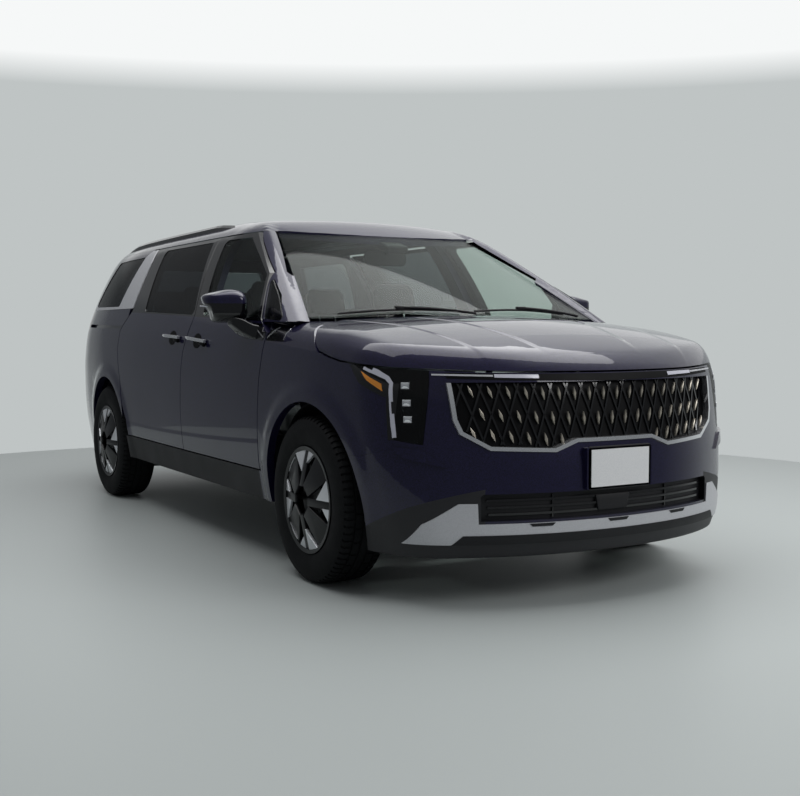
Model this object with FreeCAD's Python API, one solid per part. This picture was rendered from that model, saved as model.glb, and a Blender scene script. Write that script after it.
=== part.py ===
import FreeCAD
import Part
import math
import os

from FreeCAD import Vector

# A full-size passenger minivan. Millimetres. +X points to the front, +Y to the vehicle's left, +Z up.
# The origin is on the floor, under the middle of the vehicle's length and width.

# Overall sizes
LENGTH = 5156.0
WIDTH = 1995.0
ROOF_HEIGHT = 1747.0
WHEELBASE = 3090.0
FRONT_OVERHANG = 935.0
TRACK = 1740.0

# Wheels and tyres
TYRE_RADIUS = 368.0
TYRE_WIDTH = 235.0
RIM_FLANGE_RADIUS = 236.0
RIM_BARREL_RADIUS = 214.0
RIM_WIDTH = 205.0
HUB_BORE_RADIUS = 33.5
HUB_FACE_OUTBOARD = 45.0
STUD_CIRCLE = 114.3
STUD_COUNT = 5
STUD_HOLE_RADIUS = 7.0
SPOKE_COUNT = 8
ARCH_RADIUS = 432.0
FLARE_WIDTH = 78.0
FLARE_HEIGHT = 12.0
WELL_INNER_FRONT = 545.0
WELL_INNER_REAR = 715.0

# Panels
SHUT_GAP = 7.5
SEAM = 0.5
WING_THICKNESS = 38.0
DOOR_THICKNESS = 80.0
FRAME_THICKNESS = 45.0
PILLAR_THICKNESS = 50.0
PILLAR_CLEARANCE = 1.5
BUMPER_THICKNESS = 34.0
BONNET_THICKNESS = 34.0
TAILGATE_THICKNESS = 55.0
GLASS_THICKNESS = 5.0
GLASS_RECESS = 4.0
GLASS_EDGE = 0.4
PLATE_WIDTH = 305.0
PLATE_HEIGHT = 152.0
PLATE_THICKNESS = 3.0
PLATE_Z = 553.0

# Heights of the lines that run along the body
SILL_BOTTOM = 300.0
DOOR_BOTTOM = 446.0
FRAME_TOP = 1636.0
BUMPER_BOTTOM = 205.0
REAR_BUMPER_TOP = 600.0
FLOOR_BOTTOM = 290.0
FLOOR_THICKNESS = 95.0
FLOOR_HALF_WIDTH = 800.0

# Small pieces
SCREEN_RECESS = 9.0
TRIM_DEPTH = 6.0
LINER_THICKNESS = 7.0
GRILLE_RECESS = 26.0
STOP_WIDTH = 32.0
RAIL_Y = 655.0
RAIL_HEIGHT = 17.0
RAIL_WIDTH = 26.0
RAIL_REAR_X = -1980.0
RAIL_FRONT_X = -20.0

# Seats
CUSHION_Z = 625.0
CUSHION_LENGTH = 520.0
BACKREST_HEIGHT = 640.0
BACKREST_LEAN = 18.0
FRONT_SEAT_X = 700.0
MIDDLE_SEAT_X = -330.0
REAR_SEAT_X = -1290.0

# Places along the length
NOSE_X = LENGTH / 2.0 - 12.0
TAIL_X = -LENGTH / 2.0
FRONT_AXLE_X = LENGTH / 2.0 - FRONT_OVERHANG
REAR_AXLE_X = FRONT_AXLE_X - WHEELBASE
HALF_WIDTH = WIDTH / 2.0
WHEEL_Y = TRACK / 2.0
STOP_Y = HALF_WIDTH - BUMPER_THICKNESS - 38.0
OUT = "parts"


def through(stations):
    """A smooth curve through (place, value) stations that never overshoots them."""
    xs = [s[0] for s in stations]
    ys = [s[1] for s in stations]
    rises = [(ys[i + 1] - ys[i]) / (xs[i + 1] - xs[i]) for i in range(len(xs) - 1)]
    slopes = [rises[0]]
    for a, b in zip(rises, rises[1:]):
        slopes.append(0.0 if a * b <= 0 else 2 * a * b / (a + b))
    slopes.append(rises[-1])

    def value(x):
        if x <= xs[0]:
            return ys[0] + slopes[0] * (x - xs[0])
        if x >= xs[-1]:
            return ys[-1] + slopes[-1] * (x - xs[-1])
        i = max(k for k in range(len(xs) - 1) if xs[k] <= x)
        h = xs[i + 1] - xs[i]
        t = (x - xs[i]) / h
        a = (1 + 2 * t) * (1 - t) ** 2 * ys[i] + t * (1 - t) ** 2 * h * slopes[i]
        b = t * t * (3 - 2 * t) * ys[i + 1] + t * t * (t - 1) * h * slopes[i + 1]
        return a + b

    return value


def rounded(a, b, reach):
    """The larger of a and b, with the corner between them rounded over reach."""
    overlap = max(reach - abs(a - b), 0.0)
    return max(a, b) + overlap * overlap / (4.0 * reach)


# Outlines of the outer skin. Insets are measured inwards from the widest, foremost and rearmost planes.
side_inset = through(
    [(180, 84), (300, 50), (400, 32), (520, 14), (680, 3), (850, 0), (980, 8), (1080, 22), (1150, 40),
     (1200, 56), (1300, 92), (1400, 134), (1500, 182), (1600, 240), (1680, 300), (1760, 370)]
)
side_bow = through(
    [(-2578, 190), (-2300, 95), (-2000, 48), (-1447, 14), (-700, 2), (200, 0), (1000, 4), (1643, 14),
     (2000, 38), (2200, 66), (2578, 160)]
)
cabin_taper = through(
    [(-2400, 24), (-2000, 4), (-1200, 0), (-500, 0), (200, 4), (475, 26), (800, 40), (1450, 40)]
)
roof_inset = through(
    [(-2578, 112), (-2450, 78), (-2300, 48), (-2000, 14), (-1500, 5), (-900, 1), (-300, 0), (0, 3),
     (200, 12), (300, 18), (400, 26), (500, 42), (600, 72), (700, 120), (900, 240)]
)
bonnet_height = through(
    [(1300, 1205), (1500, 1189), (1700, 1174), (1811, 1165), (2000, 1137), (2200, 1092), (2350, 1046),
     (2440, 1008), (2500, 972), (2560, 915)]
)
nose_inset = through(
    [(180, 62), (230, 26), (300, 3), (430, 0), (553, 4), (671, 18), (800, 34), (904, 52), (950, 68), (1010, 100)]
)
tail_inset = through(
    [(230, 70), (300, 24), (450, 0), (620, 4), (760, 22), (900, 40), (1050, 58), (1150, 74), (1300, 104),
     (1450, 140), (1600, 186), (1690, 220)]
)
BELT_Z = 1150.0
WINDSCREEN_FOOT_X = 1683.0
WINDSCREEN_FOOT_Z = 1150.0
WINDSCREEN_SLOPE = 0.474
WINDSCREEN_BOW = 3.6e-4
BONNET_CROWN = 7.0e-5
ROOF_CROWN = 5.5e-5
NOSE_BOW = 2.8e-4
NOSE_BOW_QUARTIC = 1.16e-10
TAIL_BOW = 1.5e-4
TAIL_BOW_QUARTIC = 1.2e-10
SHOULDER_ROUNDING = 130.0
PILLAR_ROUNDING = 60.0
PILLAR_RISE = 36.0
PILLAR_RISE_WIDTH = 70.0
WINDSCREEN_TOP_CORNER = (515.0, 601.0)
WINDSCREEN_BOTTOM_CORNER = (1382.0, 837.0)


def flare(x, z):
    """How far the skin stands out round a wheel arch."""
    bulge = 0.0
    for axle in (FRONT_AXLE_X, REAR_AXLE_X):
        r = math.hypot(x - axle, z - TYRE_RADIUS) - ARCH_RADIUS - 0.35 * FLARE_WIDTH
        t = min(max(1.0 - r / FLARE_WIDTH, 0.0), 1.0)
        bulge += FLARE_HEIGHT * t * t * (3 - 2 * t)
    return bulge


def side(x, y, z):
    taper = cabin_taper(x) * max(z - BELT_Z, 0.0) / 450.0
    return abs(y) - (HALF_WIDTH - side_inset(z) - side_bow(x) - taper + flare(x, z))


def roof(x, y, z):
    return z - (ROOF_HEIGHT - roof_inset(x) - ROOF_CROWN * y * y)


def windscreen(x, y, z):
    return z - (WINDSCREEN_FOOT_Z + WINDSCREEN_SLOPE * (WINDSCREEN_FOOT_X - x - WINDSCREEN_BOW * y * y))


def pillar_rise(x, y):
    """The front pillars stand proud of the windscreen, outboard of its side edges."""
    (x0, y0), (x1, y1) = WINDSCREEN_TOP_CORNER, WINDSCREEN_BOTTOM_CORNER
    edge = y0 + (x - x0) * (y1 - y0) / (x1 - x0)
    t = min(max((abs(y) - edge) / PILLAR_RISE_WIDTH, 0.0), 1.0)
    return PILLAR_RISE * t * t * (3 - 2 * t)


def shoulder(x):
    """The rounding between side and top, which tightens towards the front pillars."""
    t = min(max((x - 150.0) / 500.0, 0.0), 1.0)
    return SHOULDER_ROUNDING + (PILLAR_ROUNDING - SHOULDER_ROUNDING) * t * t * (3 - 2 * t)


def bonnet(x, y, z):
    return z - (bonnet_height(x) - BONNET_CROWN * y * y)


def nose(x, y, z):
    return x - (NOSE_X - nose_inset(z) - NOSE_BOW * y * y - NOSE_BOW_QUARTIC * y ** 4)


def tail(x, y, z):
    return (TAIL_X + tail_inset(z) + TAIL_BOW * y * y + TAIL_BOW_QUARTIC * y ** 4) - x


def cabin_skin(x, y, z):
    """Below zero inside the cabin part of the outer skin."""
    top = rounded(roof(x, y, z), windscreen(x, y, z) - pillar_rise(x, y), 60.0)
    return rounded(side(x, y, z), rounded(top, tail(x, y, z), 60.0), shoulder(x))


def side_skin(x, y, z):
    """The side of the cabin as if the roof ran on over the windscreen and past the tail."""
    top = roof(min(max(x, -1900.0), 300.0), y, z)
    return rounded(side(x, y, z), top, shoulder(x))


def front_skin(x, y, z):
    """Below zero inside the bonnet, wings and nose."""
    top = rounded(bonnet(x, y, z), nose(x, y, z), 60.0)
    return rounded(side(x, y, z), top, 110.0)


def reach(skin, origin, direction):
    """The point where a line from inside the skin meets it."""
    near, far = 0.0, 1500.0
    p = origin + direction * near
    low = skin(p.x, p.y, p.z)
    p = origin + direction * far
    high = skin(p.x, p.y, p.z)
    for step in range(40):
        share = 0.5 if step % 3 == 2 else -low / (high - low)
        middle = near + (far - near) * min(max(share, 0.02), 0.98)
        p = origin + direction * middle
        value = skin(p.x, p.y, p.z)
        if value < 0:
            near, low = middle, value
        else:
            far, high = middle, value
        if far - near < 0.002 or abs(value) < 0.0005:
            break
    return p


def steps(low, high, spacing):
    count = max(int(round((high - low) / spacing)), 3)
    return [low + (high - low) * i / count for i in range(count + 1)]


def turned(degrees):
    a = math.radians(degrees)
    return math.cos(a), math.sin(a)


def side_rays(x0, x1, z0, z1, spacing=26.0):
    """Level rays straight out to the left side."""
    return [[(Vector(x, 0, z), Vector(0, 1, 0)) for z in steps(z0, z1, spacing)] for x in steps(x0, x1, spacing)]


def fan_rays(axis_x, turn0, turn1, z0, z1, spacing=26.0):
    """Level rays from an upright axis, turned from +X towards +Y."""
    rows = []
    for turn in steps(turn0, turn1, 1.6):
        c, s = turned(turn)
        rows.append([(Vector(axis_x, 0, z), Vector(c, s, 0)) for z in steps(z0, z1, spacing)])
    return rows


def ring_rays(x0, x1, turn0, turn1, centre_z, spacing=26.0, lean=0.0):
    """Rays across the body, turned from straight up towards +Y. Lean carries them back towards the sides."""
    rows = []
    for x in steps(x0, x1, spacing):
        share = lean * (x - x0) / (x1 - x0)
        row = []
        for turn in steps(turn0, turn1, 1.6):
            c, s = turned(turn)
            row.append((Vector(x - share * s * s, 0, centre_z), Vector(0, s, c)))
        rows.append(row)
    return rows


def dome_rays(x, z, rise0, rise1, turn0, turn1, step=1.6):
    """Rays from one point, risen from +X over the top and turned towards +Y."""
    rows = []
    for rise in steps(rise0, rise1, step):
        c, s = turned(rise)
        row = []
        for turn in steps(turn0, turn1, step):
            e, f = turned(turn)
            row.append((Vector(x, 0, z), Vector(c * e, f, s * e)))
        rows.append(row)
    return rows


def pillar_rays():
    """Rays that fan round the front pillar's ridge, from the windscreen to the door."""
    (x0, y0), (x1, y1) = WINDSCREEN_TOP_CORNER, WINDSCREEN_BOTTOM_CORNER
    c, k = turned(math.degrees(math.atan(WINDSCREEN_SLOPE)))
    up, out = Vector(k, 0, c), Vector(0, 1, 0)
    rows = []
    for share in steps(-0.16, 1.14, 0.03):
        x, y = x0 + share * (x1 - x0), y0 + share * (y1 - y0)
        z = WINDSCREEN_FOOT_Z + WINDSCREEN_SLOPE * (WINDSCREEN_FOOT_X - x - WINDSCREEN_BOW * y * y)
        origin = Vector(x, y, z) - up * 160.0 - out * 60.0
        row = []
        for turn in steps(-38, 118, 4.0):
            e, f = turned(turn)
            row.append((origin, up * e + out * f))
        rows.append(row)
    return rows


def at(value, p):
    return value(p) if callable(value) else value


def slab(skin, rays, depth, thickness):
    """A closed piece that lies between depth and depth + thickness under the skin."""
    outer_grid, inner_grid = [], []
    for row in rays:
        points = [(reach(skin, o, d), d) for o, d in row]
        outer_grid.append([p - d * at(depth, p) for p, d in points])
        inner_grid.append([p - d * (at(depth, p) + at(thickness, p)) for p, d in points])
    faces = []
    for grid in (outer_grid, inner_grid):
        surface = Part.BSplineSurface()
        surface.interpolate(grid)
        faces.append(surface)
    outer, inner = faces
    u0, u1, v0, v1 = outer.bounds()
    w0, w1, t0, t1 = inner.bounds()
    shell = [outer.toShape(), inner.toShape()]
    for a, b in (
        (outer.uIso(u0), inner.uIso(w0)),
        (outer.uIso(u1), inner.uIso(w1)),
        (outer.vIso(v0), inner.vIso(t0)),
        (outer.vIso(v1), inner.vIso(t1)),
    ):
        shell.append(Part.makeRuledSurface(a.toShape(), b.toShape()))
    sewn = Part.makeCompound(shell)
    sewn.sewShape(0.05)
    solid = Part.makeSolid(sewn.Shells[0])
    if solid.Volume < 0:
        solid.reverse()
    return solid


def grown(points, grow):
    """An outline with each side moved outwards by grow."""
    count = len(points)
    area = sum(points[i - 1][0] * points[i][1] - points[i][0] * points[i - 1][1] for i in range(count))
    turn = grow if area > 0 else -grow
    moved = []
    for i in range(count):
        (ax, ay), (bx, by), (cx, cy) = points[i - 1], points[i], points[(i + 1) % count]
        ux, uy = bx - ax, by - ay
        vx, vy = cx - bx, cy - by
        u, v = math.hypot(ux, uy), math.hypot(vx, vy)
        ux, uy, vx, vy = ux / u, uy / u, vx / v, vy / v
        nx, ny = uy + vy, -(ux + vx)
        share = turn / (1.0 + ux * vx + uy * vy)
        moved.append((bx + nx * share, by + ny * share))
    return moved


def offset_outline(points, grow, corner):
    """A flat outline, grown by grow, with its corners rounded to corner."""
    points = grown(points, grow) if grow else points
    corners = [Vector(a, b, 0) for a, b in points]
    if corner <= 0:
        return Part.makePolygon(corners + [corners[0]])
    edges = []
    ends = []
    for i, p in enumerate(corners):
        to_last = (corners[i - 1] - p).normalize()
        to_next = (corners[(i + 1) % len(corners)] - p).normalize()
        half = to_last.getAngle(to_next) / 2.0
        back = corner / math.tan(half)
        middle = p + (to_last + to_next).normalize() * (corner / math.sin(half) - corner)
        ends.append((p + to_last * back, middle, p + to_next * back))
    for i, (start, middle, end) in enumerate(ends):
        edges.append(Part.Arc(start, middle, end).toShape())
        edges.append(Part.LineSegment(end, ends[(i + 1) % len(ends)][0]).toShape())
    return Part.Wire(edges)


def along_y(points, low, high, grow=0.0, corner=0.0, skew=0.0):
    """A prism along Y over an outline of (x, z) points."""
    face = Part.Face(offset_outline(points, grow, corner))
    face.rotate(Vector(0, 0, 0), Vector(1, 0, 0), 90)
    face.translate(Vector(-skew * low, low, 0))
    return face.extrude(Vector(-skew * (high - low), high - low, 0))


def along_x(points, low, high, grow=0.0, corner=0.0):
    """A prism along X over an outline of (y, z) points."""
    face = Part.Face(offset_outline(points, grow, corner))
    face.rotate(Vector(0, 0, 0), Vector(1, 0, 0), 90)
    face.rotate(Vector(0, 0, 0), Vector(0, 0, 1), 90)
    face.translate(Vector(low, 0, 0))
    return face.extrude(Vector(high - low, 0, 0))


def along_z(points, low, high, grow=0.0, corner=0.0):
    """A prism along Z over an outline of (x, y) points."""
    face = Part.Face(offset_outline(points, grow, corner))
    face.translate(Vector(0, 0, low))
    return face.extrude(Vector(0, 0, high - low))


def block(x0, x1, y0, y1, z0, z1):
    return Part.makeBox(x1 - x0, y1 - y0, z1 - z0, Vector(x0, y0, z0))


def rod(x, y, z, radius, length, direction):
    return Part.makeCylinder(radius, length, Vector(x, y, z), direction)


def mirrored(shape):
    return shape.mirror(Vector(0, 0, 0), Vector(0, 1, 0))


def both(shape):
    return Part.makeCompound(solids(shape) + solids(mirrored(shape)))


def joined(half):
    """One piece made of a left half that ends on the middle plane and its mirror image."""
    return half.fuse(mirrored(half))


def solids(*shapes):
    found = []
    for shape in shapes:
        found += shape.Solids
    return found


def fused(*shapes):
    whole = shapes[0]
    for shape in shapes[1:]:
        whole = whole.fuse(shape)
    return whole.removeSplitter()


def door_wall(p):
    """Doors and body sides are deep below the windows and slim beside them."""
    share = min(max((p.z - (BELT_Z - 90.0)) / 90.0, 0.0), 1.0)
    return DOOR_THICKNESS + (FRAME_THICKNESS - DOOR_THICKNESS) * share


def inner_depth(p):
    """Pillars stand clear of the doors and close up to the roof right above them."""
    share = min(max((p.z - (FRAME_TOP - 14.0)) / 14.0, 0.0), 1.0)
    return (door_wall(p) + SHUT_GAP + 2.0) * (1.0 - share) + (FRAME_THICKNESS + PILLAR_CLEARANCE) * share


# Lines on the body side, as (x, z) points on the skin
DOOR_TOP = FRAME_TOP - SHUT_GAP + SEAM
FRONT_DOOR_EDGE = [(1100, DOOR_BOTTOM), (1127, 730), (1176, 1039), (1190, 1100), (1080, 1166), (950, 1392)]
ROOF_EDGE_FRONT = (500, DOOR_TOP)
DOOR_SPLIT = [(32, DOOR_TOP), (100, 1400), (168, 1200), (163, 1160), (138, 1100), (89, 983), (58, 700),
              (47, DOOR_BOTTOM)]
FRONT_GLASS = [(290, 1192), (1045, 1167), (925, 1387), (468, 1604), (156, 1606)]
QUARTER_LIGHT = [(1112, 1165), (1335, 1152), (1165, 1279), (982, 1376)]
SLIDING_EDGE = [(-1082, DOOR_TOP), (-1040, 1540), (-1022, 1440), (-1018, 1330), (-1025, 1231), (-1139, 1141),
                (-1175, 1108), (-1180, 984), (-1105, 790), (-1050, 640), (-990, 540), (-975, DOOR_BOTTOM)]
SLIDING_GLASS = [(-754, 1223), (152, 1194), (-36, 1608), (-868, 1610)]
QUARTER_GLASS = [(-2120, 1270), (-1374, 1264), (-1258, 1590), (-1950, 1586)]
PILLAR_TRIM = [(-1036, 1248), (-1030, 1330), (-1034, 1440), (-1052, 1540), (-1096, 1628), (-1192, 1628),
               (-1262, 1588), (-1390, 1276), (-2105, 1276), (-2105, 1248)]
RAIL_SLOT = [(-2105, 1150), (-1170, 1136), (-1196, 1116), (-2105, 1128)]
RAIL_SLOT_DEPTH = 24.0
BONNET_EDGE = [(1380, 1172), (1550, 1140), (1651, 1090), (1738, 1024), (1829, 1004), (1924, 988), (2200, 966),
               (2420, 950), (2600, 942)]
HEADLAMP_EDGE = [(1975, 988), (2236, 884), (2232, 678), (2420, 640), (2480, 942), (2200, 962)]
HEADLAMP_INNER_Y = 752.0
TAIL_LAMP_LOW = 1120.0
TAIL_LAMP_HIGH = 1236.0
TAIL_LAMP_FRONT_X = -2120.0
TAILGATE_EDGE = [(795, REAR_BUMPER_TOP + SHUT_GAP), (800, 1000), (772, 1150), (700, 1400), (610, 1570), (560, 1660),
                 (545, 1900)]
TAILGATE_FRONT_X = -2296.0
REAR_GLASS_LOW = 1255.0
REAR_GLASS_HIGH = 1560.0

# Lines on the nose, as (y, z) points of the left half
GRILLE = [(690, 904), (678, 760), (660, 712), (560, 652), (300, 640), (200, 676)]
LOWER_GRILLE = [(592, 464), (604, 454), (602, 356)]
SKID = [(612, 346), (616, 428), (684, 428), (806, 344), (850, 262)]
FRAME_BAND = 16.0

SILL_TOP = DOOR_BOTTOM - SHUT_GAP
SILL_FRONT_X = 1092.0
WING_TOP = 1150.0
STOP_GAP = 0.3
CENTRE_Z = 900.0
WING_CENTRE_Z = 600.0
BONNET_CENTRE_Z = 560.0
NOSE_AXIS_X = 1500.0
TAIL_AXIS_X = -1500.0
NOSE_TOP = 958.0
FRONT_SHUT_X = 2236.0


def whole(half):
    """Both halves of an outline given for the left half only."""
    return half + [(-a, b) for a, b in reversed(half)]


def skewed(points, skew):
    """Carries an outline on the skin back to the middle plane along a skewed direction."""
    placed = []
    for x, z in points:
        p = reach(side_skin, Vector(x, 0, z), Vector(0, 1, 0))
        placed.append((x + skew * p.y, z))
    return placed


DOOR_SKEW = 0.3
front_door_outline = skewed(FRONT_DOOR_EDGE + [ROOF_EDGE_FRONT] + DOOR_SPLIT, DOOR_SKEW)


def front_door_prism(grow=0.0):
    return along_y(front_door_outline, 0.0, 1300.0, grow, 0.0, DOOR_SKEW)


def wheel_cut(x, radius, y0=WELL_INNER_FRONT, y1=1200.0):
    return rod(x, y0, TYRE_RADIUS, radius, y1 - y0, Vector(0, 1, 0))


arches = fused(wheel_cut(FRONT_AXLE_X, ARCH_RADIUS), wheel_cut(REAR_AXLE_X, ARCH_RADIUS, WELL_INNER_REAR))

# Doors. The left one is built and the right one is its mirror image.
front_door_wall = slab(side_skin, side_rays(0, 1215, DOOR_BOTTOM - 20, FRAME_TOP + 4), 0.0, door_wall)
front_window = along_y(FRONT_GLASS, 500, 1300, 0.0, 28.0)
front_door = front_door_wall.common(front_door_prism()).cut(front_window)
front_door_pane = slab(side_skin, side_rays(120, 1080, 1130, FRAME_TOP, 45.0), GLASS_RECESS, GLASS_THICKNESS)
front_door_glass = front_door_pane.common(along_y(FRONT_GLASS, 500, 1300, -GLASS_EDGE, 28.0))

sliding_outline = [(x - SHUT_GAP / 2, z) for x, z in reversed(DOOR_SPLIT)] + [(x, z) for x, z in SLIDING_EDGE]
sliding_wall = slab(side_skin, side_rays(-1230, 220, DOOR_BOTTOM - 20, FRAME_TOP + 4), 0.0, door_wall)
sliding_prism = along_y(sliding_outline, 400, 1300)
sliding_door = sliding_wall.common(sliding_prism)
sliding_door = sliding_door.cut(front_door_prism(SHUT_GAP)).cut(wheel_cut(REAR_AXLE_X, ARCH_RADIUS + 14))
sliding_door = sliding_door.cut(along_y(SLIDING_GLASS, 400, 1300, 0.0, 28.0))
sliding_pane = slab(side_skin, side_rays(-910, 180, 1150, FRAME_TOP, 45.0), GLASS_RECESS, GLASS_THICKNESS)
sliding_glass = sliding_pane.common(along_y(SLIDING_GLASS, 400, 1300, -GLASS_EDGE, 28.0))

# Fixed body sides
sliding_hole = along_y(sliding_outline, 400, 1300, SHUT_GAP)
door_holes = fused(sliding_hole, front_door_prism(SHUT_GAP))
quarter_wall = slab(
    cabin_skin, fan_rays(TAIL_AXIS_X, 66, 152, SILL_BOTTOM, FRAME_TOP + 4), 0.0, FRAME_THICKNESS
)
quarter_zone = along_y(
    [(-2700, REAR_BUMPER_TOP + SEAM), (-1600, REAR_BUMPER_TOP + SEAM), (-1600, SILL_BOTTOM), (-900, SILL_BOTTOM),
     (-900, FRAME_TOP), (-2700, FRAME_TOP)], 300, 1300
)
tailgate_hole = along_x(whole(TAILGATE_EDGE), -2800, -2050, SHUT_GAP)
lamp_zone = block(-2800, TAIL_LAMP_FRONT_X, 300, 1300, TAIL_LAMP_LOW, TAIL_LAMP_HIGH)
quarter_panel = quarter_wall.common(quarter_zone).cut(door_holes).cut(arches).cut(tailgate_hole).cut(lamp_zone)
quarter_panel = quarter_panel.cut(along_y(QUARTER_GLASS, 400, 1300, 0.0, 28.0))
quarter_pane = slab(side_skin, side_rays(-2160, -1200, 1220, FRAME_TOP, 45.0), GLASS_RECESS, GLASS_THICKNESS)
quarter_glass = quarter_pane.common(along_y(QUARTER_GLASS, 400, 1300, -GLASS_EDGE, 28.0))
lamp_wall = slab(
    cabin_skin, fan_rays(TAIL_AXIS_X, 112, 146, TAIL_LAMP_LOW - 30, TAIL_LAMP_HIGH + 30), 0.0, FRAME_THICKNESS
)
tail_lamp = lamp_wall.cut(tailgate_hole).common(
    block(-2800, TAIL_LAMP_FRONT_X - SEAM, 300, 1300, TAIL_LAMP_LOW + SEAM, TAIL_LAMP_HIGH - SEAM)
)

top_x, top_y = WINDSCREEN_TOP_CORNER
foot_x, foot_y = WINDSCREEN_BOTTOM_CORNER
windscreen_edge = [(0, 672), (150, 664), (300, 636), (450, 588), (top_y, top_x), (foot_y, foot_x),
                   (foot_y + 15, foot_x + 65)]
windscreen_outline = [(x, y) for y, x in windscreen_edge] + [(1700, foot_y + 15), (1700, -foot_y - 15)]
windscreen_outline += [(x, -y) for y, x in reversed(windscreen_edge[1:])]
windscreen_hole = along_z(windscreen_outline, 1000, 1900)
pillar_wall = slab(cabin_skin, pillar_rays(), 0.0, FRAME_THICKNESS)
pillar_zone = along_y(
    [(ROOF_EDGE_FRONT[0] - 60, FRAME_TOP), (FRONT_DOOR_EDGE[4][0] - 40, WING_TOP + SEAM), (1400, WING_TOP + SEAM),
     (1440, 1230), (760, FRAME_TOP)], top_y, 1300
)
front_pillar = pillar_wall.common(pillar_zone).cut(windscreen_hole).cut(front_door_prism(SHUT_GAP))
front_pillar = front_pillar.cut(along_y(QUARTER_LIGHT, 400, 1300, 0.0, 12.0))
light_pane = slab(side_skin, side_rays(1000, 1380, 1130, 1400, 45.0), GLASS_RECESS, GLASS_THICKNESS)
quarter_light = light_pane.common(along_y(QUARTER_LIGHT, 400, 1300, -GLASS_EDGE, 12.0))

glass_rows = []
for s in steps(-40, 1060, 36):
    row = []
    for y in steps(-900, 900, 36):
        foot = Vector(WINDSCREEN_FOOT_X - s - WINDSCREEN_BOW * y * y, y, WINDSCREEN_FOOT_Z + WINDSCREEN_SLOPE * s)
        c, k = turned(math.degrees(math.atan(WINDSCREEN_SLOPE)))
        row.append((foot - Vector(k, 0, c) * 250.0, Vector(k, 0, c)))
    glass_rows.append(row)

screen_pane = slab(windscreen, glass_rows, SCREEN_RECESS, GLASS_THICKNESS)
screen_front = along_z([(1600 - 3.3e-4 * y * y, y) for y in range(-900, 901, 60)] + [(300, 900), (300, -900)],
                       900, 1900)
windscreen_glass = screen_pane.common(along_z(windscreen_outline, 1000, 1900, -GLASS_EDGE)).common(
    screen_front)

roof_wall = slab(cabin_skin, ring_rays(-2440, 700, 0, 50, CENTRE_Z, 34.0), 0.0, FRAME_THICKNESS)
roof_zone = fused(block(-2700, 800, -900, 900, FRAME_TOP + SEAM, 1900), block(300, 800, -600, 600, 1560, 1900))
roof_hole = tailgate_hole.common(block(-2900, TAILGATE_FRONT_X + SHUT_GAP, -1300, 1300, 0, 2000))
roof_panel = joined(roof_wall.common(roof_zone).cut(windscreen_hole).cut(roof_hole))

# Inner pillars and sills that the doors close against
sill_wall = slab(side_skin, side_rays(-1120, 1240, SILL_BOTTOM, SILL_TOP + 30), 0.0, BUMPER_THICKNESS)
sill_cover = sill_wall.common(block(-1100, SILL_FRONT_X, 0, 1300, SILL_BOTTOM, SILL_TOP)).cut(arches)
sill_beam_wall = slab(
    side_skin, side_rays(-1120, 1240, SILL_BOTTOM, SILL_TOP + 30), BUMPER_THICKNESS + SEAM, 120.0
)
sill_beam = sill_beam_wall.common(block(-1100, SILL_FRONT_X, 0, 1300, SILL_BOTTOM + 8, SILL_TOP)).cut(arches)
sill_beam = sill_beam.cut(block(-2300, 1380, -FLOOR_HALF_WIDTH - SEAM, FLOOR_HALF_WIDTH + SEAM, 0,
                                FLOOR_BOTTOM + FLOOR_THICKNESS + SEAM))
door_stop = block(560, 600, STOP_Y - STOP_WIDTH, STOP_Y, SILL_TOP - 10, DOOR_BOTTOM - STOP_GAP)
sliding_stop = block(-500, -460, STOP_Y - STOP_WIDTH, STOP_Y, SILL_TOP - 10, DOOR_BOTTOM - STOP_GAP)
sill_beam = fused(sill_beam, door_stop, sliding_stop)
inner_wall = slab(side_skin, side_rays(-100, 330, SILL_TOP - 30, 1690), inner_depth, PILLAR_THICKNESS)
b_pillar = inner_wall.common(
    along_y([(0, SILL_TOP - 20), (120, SILL_TOP - 20), (140, 1000), (225, 1180), (110, FRAME_TOP), (0, FRAME_TOP),
             (100, 1180), (10, 900)], 300, 1300)
)

# Wings
wing_wall = slab(front_skin, ring_rays(1080, 2300, 46, 112, WING_CENTRE_Z), 0.0, WING_THICKNESS)
bonnet_outline = BONNET_EDGE + [(2600, 1300), (1380, 1300)]
bonnet_clear = along_y(bonnet_outline, -1300, 1300, SHUT_GAP)


def headlamp_prism(grow=0.0):
    face = along_y(HEADLAMP_EDGE, 300, 1300, grow)
    front = along_x(
        [(HEADLAMP_INNER_Y - grow, 960), (1200, 1010), (1200, 600), (HEADLAMP_INNER_Y + 46 - grow, 640)],
        1700, 2700)
    return face.common(front)


bumper_outline = [(FRONT_SHUT_X, 990), (FRONT_SHUT_X, 640), (2080, 600), (1700, 600), (1700, BUMPER_BOTTOM),
                  (2700, BUMPER_BOTTOM), (2700, 990)]
wing_zone = along_y(
    [(1120, SILL_TOP), (SILL_FRONT_X + SEAM, SILL_TOP), (SILL_FRONT_X + SEAM, SILL_BOTTOM), (1300, SILL_BOTTOM),
     (1300, 560), (2300, 560), (2300, WING_TOP), (1000, WING_TOP), (1000, 700)], 300, 1300
)
wing = wing_wall.common(wing_zone).cut(front_door_prism(SHUT_GAP)).cut(arches).cut(bonnet_clear)
wing = wing.cut(along_y(bumper_outline, 300, 1300, SEAM)).cut(headlamp_prism(SEAM))

# Bonnet
bonnet_wall = slab(front_skin, dome_rays(1700, 400, 27, 118, 0, 66), 0.0, BONNET_THICKNESS)
bonnet_zone = along_y(bonnet_outline, -1300, 1300)
bonnet_rear = along_z(
    [(1622 - 3.3e-4 * y * y, y) for y in range(-960, 961, 60)] + [(2800, 960), (2800, -960)], 700, 1400
)
bonnet_panel = joined(bonnet_wall.common(bonnet_zone).common(bonnet_rear))

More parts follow.
